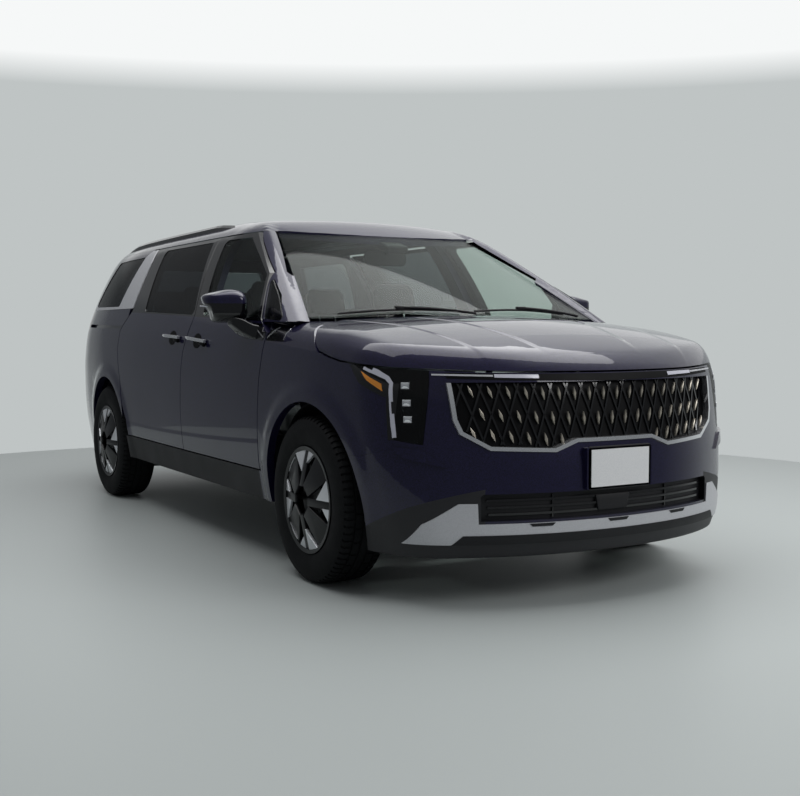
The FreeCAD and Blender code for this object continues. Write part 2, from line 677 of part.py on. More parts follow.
# Nose: the bumper carries the grille, its frame, the lamps and the lower trim in its own openings
nose_rays = fan_rays(NOSE_AXIS_X, 0, 66, BUMPER_BOTTOM, NOSE_TOP + 6)
bumper_wall = slab(front_skin, nose_rays, 0.0, BUMPER_THICKNESS)
below_strip = block(1800, 2800, -1000, 1000, 0, GRILLE[0][1] + SEAM)
grille_hole = along_x(whole(GRILLE), 1900, 2700, FRAME_BAND).common(below_strip)
lower_hole = along_x(whole(LOWER_GRILLE), 1900, 2700)
skid_hole = along_x(whole(SKID), 1900, 2700)
lamp_holes = both(headlamp_prism(SEAM))
bumper_side = along_y(bumper_outline, -1300, 1300)
front_arches = both(wheel_cut(FRONT_AXLE_X, ARCH_RADIUS))
front_bumper = bumper_wall.common(bumper_side).cut(front_arches)
for hole in (grille_hole, lower_hole, skid_hole, lamp_holes):
    front_bumper = front_bumper.cut(hole)
front_bumper = joined(front_bumper.cut(bonnet_clear))

grille_wall = slab(front_skin, fan_rays(NOSE_AXIS_X, 0, 50, 560, NOSE_TOP), GRILLE_RECESS, 20.0)
grille = joined(grille_wall.common(along_x(whole(GRILLE), 1900, 2700, -SEAM)))
frame_wall = slab(front_skin, fan_rays(NOSE_AXIS_X, 0, 50, 560, NOSE_TOP), -7.0, 52.0)
frame_ring = along_x(whole(GRILLE), 1900, 2700, FRAME_BAND - SEAM).cut(along_x(whole(GRILLE), 1800, 2800))
frame_ring = frame_ring.common(block(1900, 2700, -1000, 1000, 400, 904))
grille_frame = joined(frame_wall.common(frame_ring))
lower_wall = slab(front_skin, fan_rays(NOSE_AXIS_X, 0, 50, 300, 520), 30.0, 20.0)
lower_grille = joined(lower_wall.common(along_x(whole(LOWER_GRILLE), 1900, 2700, -SEAM)))
skid_wall = slab(front_skin, fan_rays(NOSE_AXIS_X, 0, 58, 230, 470), -4.0, 36.0)
skid_trim = joined(skid_wall.common(along_x(whole(SKID), 1900, 2700, -SEAM)))
headlamp_wall = slab(front_skin, fan_rays(NOSE_AXIS_X, 34, 66, 600, NOSE_TOP + 50), 2.0, 60.0)
headlamp = headlamp_wall.common(headlamp_prism()).cut(bonnet_clear)

plate_x = LENGTH / 2.0 - PLATE_THICKNESS
front_plate = block(
    plate_x, plate_x + PLATE_THICKNESS, -PLATE_WIDTH / 2, PLATE_WIDTH / 2, PLATE_Z - PLATE_HEIGHT / 2,
    PLATE_Z + PLATE_HEIGHT / 2
)
plate_back = block(
    NOSE_X - 30, plate_x - SEAM, -PLATE_WIDTH / 2 - 20, PLATE_WIDTH / 2 + 20, PLATE_Z - PLATE_HEIGHT / 2 - 8,
    PLATE_Z + PLATE_HEIGHT / 2 + 8
)
front_bumper = front_bumper.fuse(plate_back)

# Tail
tail_rows = []
for turn in steps(127, 180, 1.6):
    c, s = turned(turn)
    row = [(Vector(-1700, 0, z), Vector(c, s, 0)) for z in steps(REAR_BUMPER_TOP - 10, 1350, 26)]
    for rise in steps(0, 34, 1.8)[1:]:
        e, f = turned(rise)
        row.append((Vector(-1700, 0, 1350), Vector(c * e, s * e, f)))
    tail_rows.append(row)
tailgate_wall = slab(cabin_skin, tail_rows, 0.0, TAILGATE_THICKNESS)
tailgate_zone = along_x(whole(TAILGATE_EDGE), -2800, TAILGATE_FRONT_X)
REAR_GLASS_EDGE = [(640, REAR_GLASS_LOW), (516, REAR_GLASS_HIGH)]
rear_window = along_x(whole(REAR_GLASS_EDGE), -2800, -2000, 0.0, 40.0)
tailgate = joined(tailgate_wall.common(tailgate_zone).cut(rear_window))
rear_pane = slab(cabin_skin, fan_rays(-1700, 134, 180, 1200, 1610), GLASS_RECESS, GLASS_THICKNESS)
rear_glass = joined(rear_pane.common(along_x(whole(REAR_GLASS_EDGE), -2800, -2000, -GLASS_EDGE, 40.0)))
rear_bumper_wall = slab(cabin_skin, fan_rays(TAIL_AXIS_X, 104, 180, 230, REAR_BUMPER_TOP + 10), 0.0,
                        BUMPER_THICKNESS)
rear_bumper_side = along_y(
    [(-2800, REAR_BUMPER_TOP), (-1700, REAR_BUMPER_TOP), (-1700, 230), (-2800, 230)], -1300, 1300
)
rear_arches = both(wheel_cut(REAR_AXLE_X, ARCH_RADIUS, WELL_INNER_REAR))
rear_bumper = rear_bumper_wall.common(rear_bumper_side).cut(rear_arches)
tailgate_stop = block(-2520, -2480, 480, 520, REAR_BUMPER_TOP - 60, REAR_BUMPER_TOP + SHUT_GAP - STOP_GAP)
rear_bumper = joined(rear_bumper.fuse(tailgate_stop))

# Roof rails
def roof_z(x, y):
    return reach(cabin_skin, Vector(x, y, CENTRE_Z), Vector(0, 0, 1)).z


def rail_y(x):
    return RAIL_Y - 30.0 * ((x + 900.0) / 1300.0) ** 2


rail_sections = []
for x in steps(RAIL_REAR_X, RAIL_FRONT_X, 80):
    y0 = rail_y(x) - RAIL_WIDTH / 2
    y1 = y0 + RAIL_WIDTH
    ends = min((RAIL_FRONT_X - x) / 200.0, (x - RAIL_REAR_X) / 200.0, 1.0)
    high = 5.0 + RAIL_HEIGHT * ends
    a = Vector(x, y0, roof_z(x, y0) + SEAM)
    b = Vector(x, y1, roof_z(x, y1) + SEAM)
    rail_sections.append(Part.makePolygon([a, b, b + Vector(0, -4, high), a + Vector(0, 4, high), a]))
roof_rails = both(Part.makeLoft(rail_sections, True, True).cut(roof_panel))

# Silver strip up the pillar and along under the rear side window, let into the skin
trim_rays = side_rays(-2150, -980, 1100, FRAME_TOP + 4)
trim_wall = slab(side_skin, trim_rays, -2.0, TRIM_DEPTH)
trim_recess = slab(side_skin, trim_rays, -20.0, 20.0 + TRIM_DEPTH - 2.0 + SEAM)
pillar_trim = trim_wall.common(along_y(PILLAR_TRIM, 400, 1300)).cut(along_y(QUARTER_GLASS, 400, 1300, 0.0, 28.0))
quarter_panel = quarter_panel.cut(trim_recess.common(along_y(PILLAR_TRIM, 400, 1300, SEAM)))

# Slot behind the sliding door, in which its rear roller runs
slot_recess = slab(side_skin, trim_rays, -20.0, 20.0 + RAIL_SLOT_DEPTH)
quarter_panel = quarter_panel.cut(slot_recess.common(along_y(RAIL_SLOT, 400, 1300)))

# Floor, bulkheads and wheel liners
floor_pan = block(-2300, 1380, -FLOOR_HALF_WIDTH, FLOOR_HALF_WIDTH, FLOOR_BOTTOM, FLOOR_BOTTOM + FLOOR_THICKNESS)
front_wells = both(wheel_cut(FRONT_AXLE_X, ARCH_RADIUS + 10, 500))
rear_wells = both(wheel_cut(REAR_AXLE_X, ARCH_RADIUS + 10, WELL_INNER_REAR - 10))
bulkhead = block(1330, 1380, -700, 700, FLOOR_BOTTOM, 1090)
floor_pan = fused(floor_pan, bulkhead).cut(front_wells).cut(rear_wells)


def wheel_liner(x, y0, y1):
    shell = rod(x, y0, TYRE_RADIUS, ARCH_RADIUS - SEAM, y1 - y0, Vector(0, 1, 0))
    room = rod(x, y0 - 10, TYRE_RADIUS, ARCH_RADIUS - SEAM - LINER_THICKNESS, y1 - y0 + 20, Vector(0, 1, 0))
    half = block(x - 600, x + 600, 0, 1300, TYRE_RADIUS - 40, 1400)
    return shell.cut(room).common(half)


wheel_liners = both(fused(wheel_liner(FRONT_AXLE_X, WELL_INNER_FRONT, 918)))
wheel_liners = Part.makeCompound(solids(wheel_liners, both(wheel_liner(REAR_AXLE_X, WELL_INNER_REAR, 908))))

# Dashboard with the steering column
DASH_REAR_X = 985.0
dashboard = along_y(
    [(DASH_REAR_X, 1010), (1015, 1085), (1150, 1112), (1329, 1112), (1329, 700), (1180, 640), (1110, 760)],
    -760, 760
)
console = block(420, 1185, -118, 118, FLOOR_BOTTOM + FLOOR_THICKNESS + SEAM, 720)
STEERING_WHEEL = Vector(885, 400, 985)
COLUMN_TILT = 24.0
ct, st = turned(COLUMN_TILT)
column_axis = Vector(ct, 0, -st)
COLUMN_RADIUS = 34.0
STEERING_SHAFT_RADIUS = 15.0
column = rod(*(STEERING_WHEEL + column_axis * 52.0), COLUMN_RADIUS, 260.0, column_axis)
shaft_room = rod(*(STEERING_WHEEL + column_axis * 40.0), STEERING_SHAFT_RADIUS + 0.05, 130.0, column_axis)
dashboard = fused(dashboard, console, column).cut(shaft_room)
steering_rim = Part.makeTorus(184, 15, STEERING_WHEEL, column_axis)
steering_hub = rod(*(STEERING_WHEEL + column_axis * -8.0), 62.0, 52.0, column_axis)
steering_shaft = rod(*(STEERING_WHEEL + column_axis * 30.0), STEERING_SHAFT_RADIUS, 130.0, column_axis)
steering_wheel = fused(steering_rim, steering_hub, steering_shaft)
for angle in (0, 180, 270):
    spoke = block(50, 180, -24, 24, 8, 24)
    spoke.rotate(Vector(0, 0, 0), Vector(0, 0, 1), angle)
    spoke.rotate(Vector(0, 0, 0), Vector(0, 0, 1), 90)
    spoke.rotate(Vector(0, 0, 0), Vector(0, 1, 0), 90 + COLUMN_TILT)
    spoke.translate(STEERING_WHEEL)
    steering_wheel = steering_wheel.fuse(spoke)

# Seats
SEAT_FLOOR = FLOOR_BOTTOM + FLOOR_THICKNESS + SEAM


def seat(x, y, width):
    """One seat: pedestal, cushion, backrest and headrest as one soft solid. x is the cushion's front edge."""
    cushion_z, length, back = CUSHION_Z, CUSHION_LENGTH, BACKREST_HEIGHT
    base = block(x - length + 60, x - 80, y - width / 2 + 60, y + width / 2 - 60, SEAT_FLOOR, cushion_z - 70)
    cushion = block(x - length, x, y - width / 2, y + width / 2, cushion_z - 80, cushion_z + 60)
    cushion = cushion.makeFillet(38, cushion.Edges)
    rest = block(-70, 70, y - width / 2, y + width / 2, -60, back)
    rest = rest.makeFillet(45, rest.Edges)
    head = block(-45, 55, y - 130, y + 130, back - 30, back + 185)
    head = head.makeFillet(42, head.Edges)
    upright = rest.fuse(head)
    upright.rotate(Vector(0, 0, 0), Vector(0, 1, 0), -BACKREST_LEAN)
    upright.translate(Vector(x - length + 40, 0, cushion_z + 20))
    return fused(base, cushion, upright)


seats_front = Part.makeCompound([seat(FRONT_SEAT_X, 400, 540), seat(FRONT_SEAT_X, -400, 540)])
seats_middle = Part.makeCompound(
    [seat(MIDDLE_SEAT_X, 445, 500), seat(MIDDLE_SEAT_X, 0, 380), seat(MIDDLE_SEAT_X, -445, 500)]
)
seats_rear = Part.makeCompound([seat(REAR_SEAT_X, 330, 620), seat(REAR_SEAT_X, -330, 620)])

# Mirrors: the foot is on the door, the head hangs outboard of it
MIRROR_X = 925.0
MIRROR_Y = 1062.0
MIRROR_Z = 1228.0
MIRROR_DEPTH = 150.0
MIRROR_WIDTH = 205.0
MIRROR_HEIGHT = 160.0
head = block(-MIRROR_DEPTH / 2, MIRROR_DEPTH / 2, -MIRROR_WIDTH / 2, MIRROR_WIDTH / 2, -MIRROR_HEIGHT / 2,
             MIRROR_HEIGHT / 2)
head = head.makeFillet(52, [e for e in head.Edges if abs(e.CenterOfMass.x) < 1])
head = head.makeFillet(46, [e for e in head.Edges if e.BoundBox.XMin > MIRROR_DEPTH / 2 - 1])
head.rotate(Vector(0, 0, 0), Vector(0, 0, 1), 14)
head.translate(Vector(MIRROR_X, MIRROR_Y, MIRROR_Z))
foot_sections = []
for x0, x1, y, z0, z1 in ((915, 975, 1040, 1140, 1180), (960, 1060, 1000, 1085, 1150), (985, 1115, 930, 1050, 1118)):
    foot_sections.append(Part.makePolygon([
        Vector(x0, y, z0), Vector(x1, y, z0), Vector(x1, y, z1), Vector(x0, y, z1), Vector(x0, y, z0)]))
foot = Part.makeLoft(foot_sections, True, True)
door_inside = slab(side_skin, side_rays(880, 1215, 1000, 1250), -SEAM, 200.0)
mirror = fused(head, foot).cut(door_inside)

# Wheels
axis_y = Vector(0, 1, 0)


def turned_ring(points, x, y):
    """A solid of revolution about a wheel's axle from (outboard place, radius) points on the left side."""
    wire = Part.makePolygon([Vector(x, y + a, TYRE_RADIUS + r) for a, r in points + [points[0]]])
    return Part.Face(wire).revolve(Vector(x, y, TYRE_RADIUS), axis_y, 360)


def tyre(x, y):
    half = TYRE_WIDTH / 2
    bead = RIM_FLANGE_RADIUS - 9.0 + 0.3
    points = [
        (-99.5, bead), (-102.2, 236.6), (-114, 254), (-half, 288), (-half + 1, 318), (-half + 9, 347), (-90, 361),
        (-50, TYRE_RADIUS), (50, TYRE_RADIUS), (90, 361), (half - 9, 347), (half - 1, 318), (half, 288),
        (114, 254), (102.2, 236.6), (99.5, bead)
    ]
    return turned_ring(points, x, y)


RIM_EDGE = 103.0


def rim(x, y):
    seat_radius = RIM_FLANGE_RADIUS - 9.0
    barrel = turned_ring(
        [(-RIM_EDGE - 8, RIM_FLANGE_RADIUS), (-RIM_EDGE, RIM_FLANGE_RADIUS), (-RIM_EDGE + 2.6, seat_radius),
         (RIM_EDGE - 2.6, seat_radius), (RIM_EDGE, RIM_FLANGE_RADIUS), (RIM_EDGE + 8, RIM_FLANGE_RADIUS),
         (RIM_EDGE + 5, RIM_FLANGE_RADIUS - 18), (-RIM_EDGE - 5, RIM_FLANGE_RADIUS - 18)], x, y)
    face = turned_ring(
        [(HUB_FACE_OUTBOARD, HUB_BORE_RADIUS), (HUB_FACE_OUTBOARD, 82), (80, 214), (80, 222), (102, 222),
         (102, 212), (74, 72), (74, HUB_BORE_RADIUS)], x, y)
    cap = turned_ring([(66, 0.001), (66, HUB_BORE_RADIUS + 1), (74, HUB_BORE_RADIUS + 1), (77, 0.001)], x, y)
    wheel = barrel.fuse(face).fuse(cap)
    for i in range(SPOKE_COUNT):
        window = along_y([(-26, 96), (26, 96), (62, 196), (0, 206), (-62, 196)], 0, 300, 0.0, 8.0)
        window.rotate(Vector(0, 0, 0), axis_y, 360.0 / SPOKE_COUNT * (i + 0.5))
        window.translate(Vector(x, y, TYRE_RADIUS))
        wheel = wheel.cut(window)
    for i in range(STUD_COUNT):
        hole = rod(0, 0, 0, STUD_HOLE_RADIUS, 300, axis_y)
        hole.translate(Vector(0, 0, STUD_CIRCLE / 2))
        hole.rotate(Vector(0, 0, 0), axis_y, 360.0 / STUD_COUNT * i)
        hole.translate(Vector(x, y, TYRE_RADIUS))
        wheel = wheel.cut(hole)
    return wheel


# What carries the wheels. The spindle runs in the rim's bore.
RUNNING_CLEARANCE = 0.05
HUB_INNER_Y = WHEEL_Y - 90.0
KINGPIN_Y = WHEEL_Y - 80.0
KINGPIN_RADIUS = 16.0
ARM_Z = 205.0
ARM_THICKNESS = 34.0
UPPER_ARM_Z = 505.0
UPPER_ARM_THICKNESS = 22.0


def spindle(x):
    radius = HUB_BORE_RADIUS - RUNNING_CLEARANCE
    stub = rod(x, HUB_INNER_Y, TYRE_RADIUS, radius, WHEEL_Y + 64 - HUB_INNER_Y, axis_y)
    plate = rod(x, HUB_INNER_Y, TYRE_RADIUS, 74, WHEEL_Y + HUB_FACE_OUTBOARD - 0.3 - HUB_INNER_Y, axis_y)
    return stub.fuse(plate)


ARM_TOP = ARM_Z + ARM_THICKNESS
STRUT_Y = 640.0
STRUT_RADIUS = 27.0
upright = block(FRONT_AXLE_X - 45, FRONT_AXLE_X + 45, KINGPIN_Y - 28, HUB_INNER_Y + 5, ARM_TOP + STOP_GAP,
                UPPER_ARM_Z - STOP_GAP)
ball_pin = rod(FRONT_AXLE_X, KINGPIN_Y, ARM_Z, KINGPIN_RADIUS - RUNNING_CLEARANCE,
               UPPER_ARM_Z + UPPER_ARM_THICKNESS - ARM_Z, Vector(0, 0, 1))
caliper = block(FRONT_AXLE_X - 150, FRONT_AXLE_X - 40, HUB_INNER_Y - 20, HUB_INNER_Y + 40, 330, 470)
knuckle = fused(upright, ball_pin, spindle(FRONT_AXLE_X), caliper)

lower_arm = along_z(
    [(FRONT_AXLE_X - 190, 330), (FRONT_AXLE_X + 120, 330), (FRONT_AXLE_X + 32, KINGPIN_Y + 28),
     (FRONT_AXLE_X - 32, KINGPIN_Y + 28)], ARM_Z, ARM_TOP
)
upper_arm = along_z(
    [(FRONT_AXLE_X - 70, STRUT_Y - 40), (FRONT_AXLE_X + 70, STRUT_Y - 40), (FRONT_AXLE_X + 28, KINGPIN_Y + 26),
     (FRONT_AXLE_X - 28, KINGPIN_Y + 26)], UPPER_ARM_Z, UPPER_ARM_Z + UPPER_ARM_THICKNESS
)
strut_top = TYRE_RADIUS + ARCH_RADIUS - LINER_THICKNESS - 4 * SEAM
strut = rod(FRONT_AXLE_X, STRUT_Y, ARM_TOP - 5, STRUT_RADIUS, strut_top - ARM_TOP + 5, Vector(0, 0, 1))
arm_hole = rod(FRONT_AXLE_X, KINGPIN_Y, ARM_Z - 10, KINGPIN_RADIUS, 400, Vector(0, 0, 1))
cradle = block(FRONT_AXLE_X - 230, FRONT_AXLE_X + 200, -400, 400, ARM_Z - 10, FLOOR_BOTTOM - SEAM)
cradle = cradle.cut(block(FRONT_AXLE_X - 150, FRONT_AXLE_X + 130, -300, 300, 100, 400))
cradle_link = block(1300, FRONT_AXLE_X - 229, -400, 400, ARM_Z + 30, FLOOR_BOTTOM - SEAM)
RADIATOR_X = 2215.0
rail = block(FRONT_AXLE_X + 190, RADIATOR_X + 40, 330, 400, ARM_Z + 30, FLOOR_BOTTOM - SEAM)
front_subframe = fused(cradle, cradle_link, rail, mirrored(rail))
for arm in (lower_arm, upper_arm, strut):
    front_subframe = front_subframe.fuse(arm).fuse(mirrored(arm))
front_subframe = front_subframe.cut(arm_hole).cut(mirrored(arm_hole))

# Radiator panel with the stops that the closed bonnet rests on
radiator = block(RADIATOR_X, RADIATOR_X + 45, -560, 560, FLOOR_BOTTOM, 880)
under_bonnet = slab(front_skin, dome_rays(1700, 400, 27, 118, 0, 66, 3.0), -60.0,
                    60.0 + BONNET_THICKNESS + STOP_GAP)
stop = rod(RADIATOR_X + 22, 420, 870, 14, 260, Vector(0, 0, 1)).cut(under_bonnet)
stop = [s for s in stop.Solids if s.BoundBox.ZMin < 880][0]
radiator = fused(radiator, stop, mirrored(stop))

rear_beam = rod(REAR_AXLE_X, -HUB_INNER_Y, 205, 27, 2 * HUB_INNER_Y, axis_y)
rear_upright = block(REAR_AXLE_X - 45, REAR_AXLE_X + 45, WELL_INNER_REAR + 10, HUB_INNER_Y + 5, 185, 480)
rear_link = block(REAR_AXLE_X + 20, REAR_AXLE_X + 560, 560, 620, FLOOR_BOTTOM - 60, FLOOR_BOTTOM - SEAM)
rear_tie = block(REAR_AXLE_X - 40, REAR_AXLE_X + 80, 560, HUB_INNER_Y, FLOOR_BOTTOM - 60, FLOOR_BOTTOM - SEAM)
rear_axle = fused(rear_beam, rear_upright, mirrored(rear_upright), rear_link, mirrored(rear_link), rear_tie,
                  mirrored(rear_tie), spindle(REAR_AXLE_X), mirrored(spindle(REAR_AXLE_X)))

engine_block = block(1560, 2120, -340, 340, FLOOR_BOTTOM + 0.3, 930)

# Exhaust pipe under the floor, with its silencer
PIPE_RADIUS = 28.0
pipe_z = FLOOR_BOTTOM - SEAM - PIPE_RADIUS
pipe = rod(-2460, 180, pipe_z, PIPE_RADIUS, 3700, Vector(1, 0, 0))
silencer = block(-2290, -1990, 60, 520, pipe_z - 70, FLOOR_BOTTOM - SEAM)
silencer = silencer.makeFillet(30, [e for e in silencer.Edges if abs(e.tangentAt(e.FirstParameter).y) > 0.9])
exhaust = pipe.fuse(silencer)

body_shell = Part.makeCompound(solids(both(front_pillar), both(sill_beam), both(b_pillar)))

pieces = {
    "body_shell": body_shell,
    "quarter_panels": both(quarter_panel),
    "roof_panel": roof_panel,
    "floor_pan": floor_pan,
    "wings": both(wing),
    "front_bumper": front_bumper,
    "grille": grille,
    "grille_frame": grille_frame,
    "lower_grille": lower_grille,
    "skid_trim": skid_trim,
    "headlamps": both(headlamp),
    "windscreen": windscreen_glass,
    "sliding_doors": both(sliding_door),
    "sliding_door_glass": both(sliding_glass),
    "quarter_glass": Part.makeCompound(solids(both(quarter_glass), both(quarter_light))),
    "pillar_trims": both(pillar_trim),
    "tail_lamps": both(tail_lamp),
    "rear_bumper": rear_bumper,
    "sill_covers": both(sill_cover),
    "roof_rails": roof_rails,
    "wheel_liners": wheel_liners,
    "dashboard": dashboard,
    "seats_front": seats_front,
    "seats_middle": seats_middle,
    "seats_rear": seats_rear,
    "front_subframe": front_subframe,
    "rear_axle": rear_axle,
    "engine_block": engine_block,
    "radiator": radiator,
    "exhaust": exhaust,
    "front_plate": front_plate,
    "front_door_left": front_door,
    "front_door_right": mirrored(front_door),
    "door_glass_left": front_door_glass,
    "door_glass_right": mirrored(front_door_glass),
    "mirror_left": mirror,
    "mirror_right": mirrored(mirror),
    "bonnet": bonnet_panel,
    "tailgate": tailgate,
    "rear_glass": rear_glass,
    "knuckle_left": knuckle,
    "knuckle_right": mirrored(knuckle),
    "steering_wheel": steering_wheel,
}
for place, x in (("front", FRONT_AXLE_X), ("rear", REAR_AXLE_X)):
    pieces["rim_" + place + "_left"] = rim(x, WHEEL_Y)
    pieces["rim_" + place + "_right"] = mirrored(rim(x, WHEEL_Y))
    pieces["tyre_" + place + "_left"] = tyre(x, WHEEL_Y)
    pieces["tyre_" + place + "_right"] = mirrored(tyre(x, WHEEL_Y))

os.makedirs(OUT, exist_ok=True)
for name, shape in pieces.items():
    shape.exportStep(OUT + "/" + name + ".step")
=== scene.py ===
import bmesh
import bpy
import math
from mathutils import Matrix, Vector
from mathutils.bvhtree import BVHTree

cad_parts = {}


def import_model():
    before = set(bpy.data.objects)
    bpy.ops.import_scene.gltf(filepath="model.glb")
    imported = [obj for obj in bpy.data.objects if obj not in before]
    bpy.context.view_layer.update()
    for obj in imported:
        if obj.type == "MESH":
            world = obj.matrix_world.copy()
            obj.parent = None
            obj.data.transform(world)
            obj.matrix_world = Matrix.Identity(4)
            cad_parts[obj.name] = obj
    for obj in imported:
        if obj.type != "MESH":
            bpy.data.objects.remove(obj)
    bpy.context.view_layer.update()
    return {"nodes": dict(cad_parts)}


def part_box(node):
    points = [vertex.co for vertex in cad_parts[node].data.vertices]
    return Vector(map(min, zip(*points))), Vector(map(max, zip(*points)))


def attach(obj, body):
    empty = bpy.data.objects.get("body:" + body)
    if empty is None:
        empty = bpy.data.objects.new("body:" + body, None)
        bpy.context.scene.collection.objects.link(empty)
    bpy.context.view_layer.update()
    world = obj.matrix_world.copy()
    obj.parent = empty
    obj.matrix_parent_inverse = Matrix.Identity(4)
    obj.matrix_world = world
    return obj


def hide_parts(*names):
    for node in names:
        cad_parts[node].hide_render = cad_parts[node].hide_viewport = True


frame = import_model()

# Places on the vehicle, in metres. +X points to the front, +Y to the vehicle's left, +Z up.
TYRE_RADIUS = 0.368
WHEEL_Y = 0.87
FRONT_AXLE_X = 1.643
REAR_AXLE_X = -1.447

# Lines where two finishes meet on one piece: a height at x = 0 and a slope along x.
BELT_Z = 1.190
BELT_SLOPE = -0.0325
MIRROR_SPLIT_Z = 1.239
BUMPER_TRIM_SLOPE = 0.45
BUMPER_TRIM_Z = 0.3167 - BUMPER_TRIM_SLOPE * 2.083
BUMPER_LIP_Z = 0.345
BUMPER_FRONT_X = 2.455

# Pressed creases: (line as constant, slope and curvature, width, rise)
BONNET_CREASES = (((0.704, -0.190, 0.0), 0.035, 0.007), ((0.942, -0.170, 0.0), 0.030, 0.005))
CREASE_FADE_X = 2.20
CREASE_END_X = 2.42
DOOR_CREASES = (((0.5345, 0.0239, 0.0167), 0.026, 0.003),)

WHEELS = [(end, side_name, axle_x, side_sign)
          for end, axle_x in (("front", FRONT_AXLE_X), ("rear", REAR_AXLE_X))
          for side_name, side_sign in (("left", 1), ("right", -1))]


def deselect():
    if bpy.context.object and bpy.context.object.mode != "OBJECT":
        bpy.ops.object.mode_set(mode="OBJECT")
    bpy.ops.object.select_all(action="DESELECT")


deselect()


# Materials: helpers that add nodes

def linear(hex_colour):
    """An sRGB hex colour as a linear RGBA tuple."""
    parts = [int(hex_colour[i:i + 2], 16) / 255.0 for i in (1, 3, 5)]
    return tuple(c / 12.92 if c <= 0.04045 else ((c + 0.055) / 1.055) ** 2.4 for c in parts) + (1.0,)


def add(tree, kind, settings=None, links=None):
    """Adds a node. Settings are attributes or input values, links are {input: output socket}."""
    node = tree.nodes.new(kind)
    for key, value in (settings or {}).items():
        if key in node.inputs.keys() or isinstance(key, int):
            node.inputs[key].default_value = value
        else:
            setattr(node, key, value)
    for key, socket in (links or {}).items():
        tree.links.new(socket, node.inputs[key])
    return node


def maths(tree, operation, *inputs):
    """The result of a math node over numbers and sockets."""
    node = add(tree, "ShaderNodeMath", {"operation": operation})
    for index, value in enumerate(inputs):
        if isinstance(value, (int, float)):
            node.inputs[index].default_value = value
        else:
            tree.links.new(value, node.inputs[index])
    return node.outputs[0]


def ranged(tree, value, low, high, to_low=0.0, to_high=1.0, kind="LINEAR"):
    """Maps a value from one range to another, held at its ends."""
    node = add(tree, "ShaderNodeMapRange", {
        "interpolation_type": kind, "From Min": low, "From Max": high, "To Min": to_low, "To Max": to_high},
        {"Value": value})
    return node.outputs["Result"]


def blended(tree, factor, first, second):
    """A colour between two, each a hex colour or a socket."""
    mix = add(tree, "ShaderNodeMix", {"data_type": "RGBA"}, {"Factor": factor})
    for index, colour in ((6, first), (7, second)):
        if isinstance(colour, str):
            mix.inputs[index].default_value = linear(colour)
        else:
            tree.links.new(colour, mix.inputs[index])
    return mix.outputs[2]


def place(tree):
    """The object's own coordinates, in metres."""
    return add(tree, "ShaderNodeTexCoord").outputs["Object"]


def split(tree, vector):
    """The X, Y and Z of a vector."""
    return add(tree, "ShaderNodeSeparateXYZ", None, {"Vector": vector}).outputs


def noise(tree, scale, detail):
    """Noise between 0 and 1 over the object's own coordinates."""
    made = add(tree, "ShaderNodeTexNoise", {"Scale": scale, "Detail": detail}, {"Vector": place(tree)})
    return made.outputs["Fac"]


def bumped(tree, shader, height, strength, distance):
    """Links a height to the shader's normals."""
    bump = add(tree, "ShaderNodeBump", {"Strength": strength, "Distance": distance}, {"Height": height})
    for socket in ("Normal", "Coat Normal"):
        tree.links.new(bump.outputs["Normal"], shader.inputs[socket])


def grained(tree, shader, scale, detail, strength, distance):
    """Presses a fine even grain into a surface."""
    bumped(tree, shader, noise(tree, scale, detail), strength, distance)


def mottled(tree, shader, size, low, high):
    """Varies the roughness in patches of the given size, as wiped and handled surfaces do."""
    tree.links.new(ranged(tree, noise(tree, 1.0 / size, 2.0), 0.0, 1.0, low, high), shader.inputs["Roughness"])


def speckled(tree, shader, size, dark, light):
    """Mixes two colours in grains of the given size."""
    cells = add(tree, "ShaderNodeTexVoronoi", {"Scale": 1.0 / size}, {"Vector": place(tree)})
    grey = add(tree, "ShaderNodeSeparateColor", None, {"Color": cells.outputs["Color"]})
    tree.links.new(blended(tree, grey.outputs["Red"], dark, light), shader.inputs["Base Color"])


def surface(name, colour, settings=None, patches=None, specks=None, grain=None):
    """A material with roughness patches, colour specks and a pressed grain, each as its helper takes them."""
    made = bpy.data.materials.new(name)
    made.use_nodes = True
    tree = made.node_tree
    shader = tree.nodes["Principled BSDF"]
    shader.inputs["Base Color"].default_value = linear(colour)
    for key, value in (settings or {}).items():
        shader.inputs[key].default_value = value
    for helper, values in ((speckled, specks), (grained, grain), (mottled, patches)):
        if values:
            helper(tree, shader, *values)
    return made


def empty_material(name):
    """A material without nodes, and its tree."""
    made = bpy.data.materials.new(name)
    made.use_nodes = True
    made.node_tree.nodes.clear()
    return made, made.node_tree


def finished(name, make_shader):
    """A material made of one shader."""
    made, tree = empty_material(name)
    add(tree, "ShaderNodeOutputMaterial", None, {"Surface": make_shader(tree).outputs["BSDF"]})
    return made


def two_tone(name, lower, upper, boundary):
    """Joins the shaders of two finishes on one piece: upper where boundary(tree, axes) is 1."""
    made, tree = empty_material(name)
    shaders = [finish(tree).outputs["BSDF"] for finish in (lower, upper)]
    mix = add(tree, "ShaderNodeMixShader", None,
              {"Fac": boundary(tree, split(tree, place(tree))), 1: shaders[0], 2: shaders[1]})
    add(tree, "ShaderNodeOutputMaterial", None, {"Surface": mix.outputs["Shader"]})
    return made


def above_line(tree, axes, height, slope):
    """1 above a line that starts at a height and climbs with x."""
    return maths(tree, "GREATER_THAN", maths(tree, "MULTIPLY_ADD", axes["X"], -slope, axes["Z"]), height)


def above_belt(tree, axes):
    return above_line(tree, axes, BELT_Z, BELT_SLOPE)


def above_mirror_split(tree, axes):
    return above_line(tree, axes, MIRROR_SPLIT_Z, 0.0)


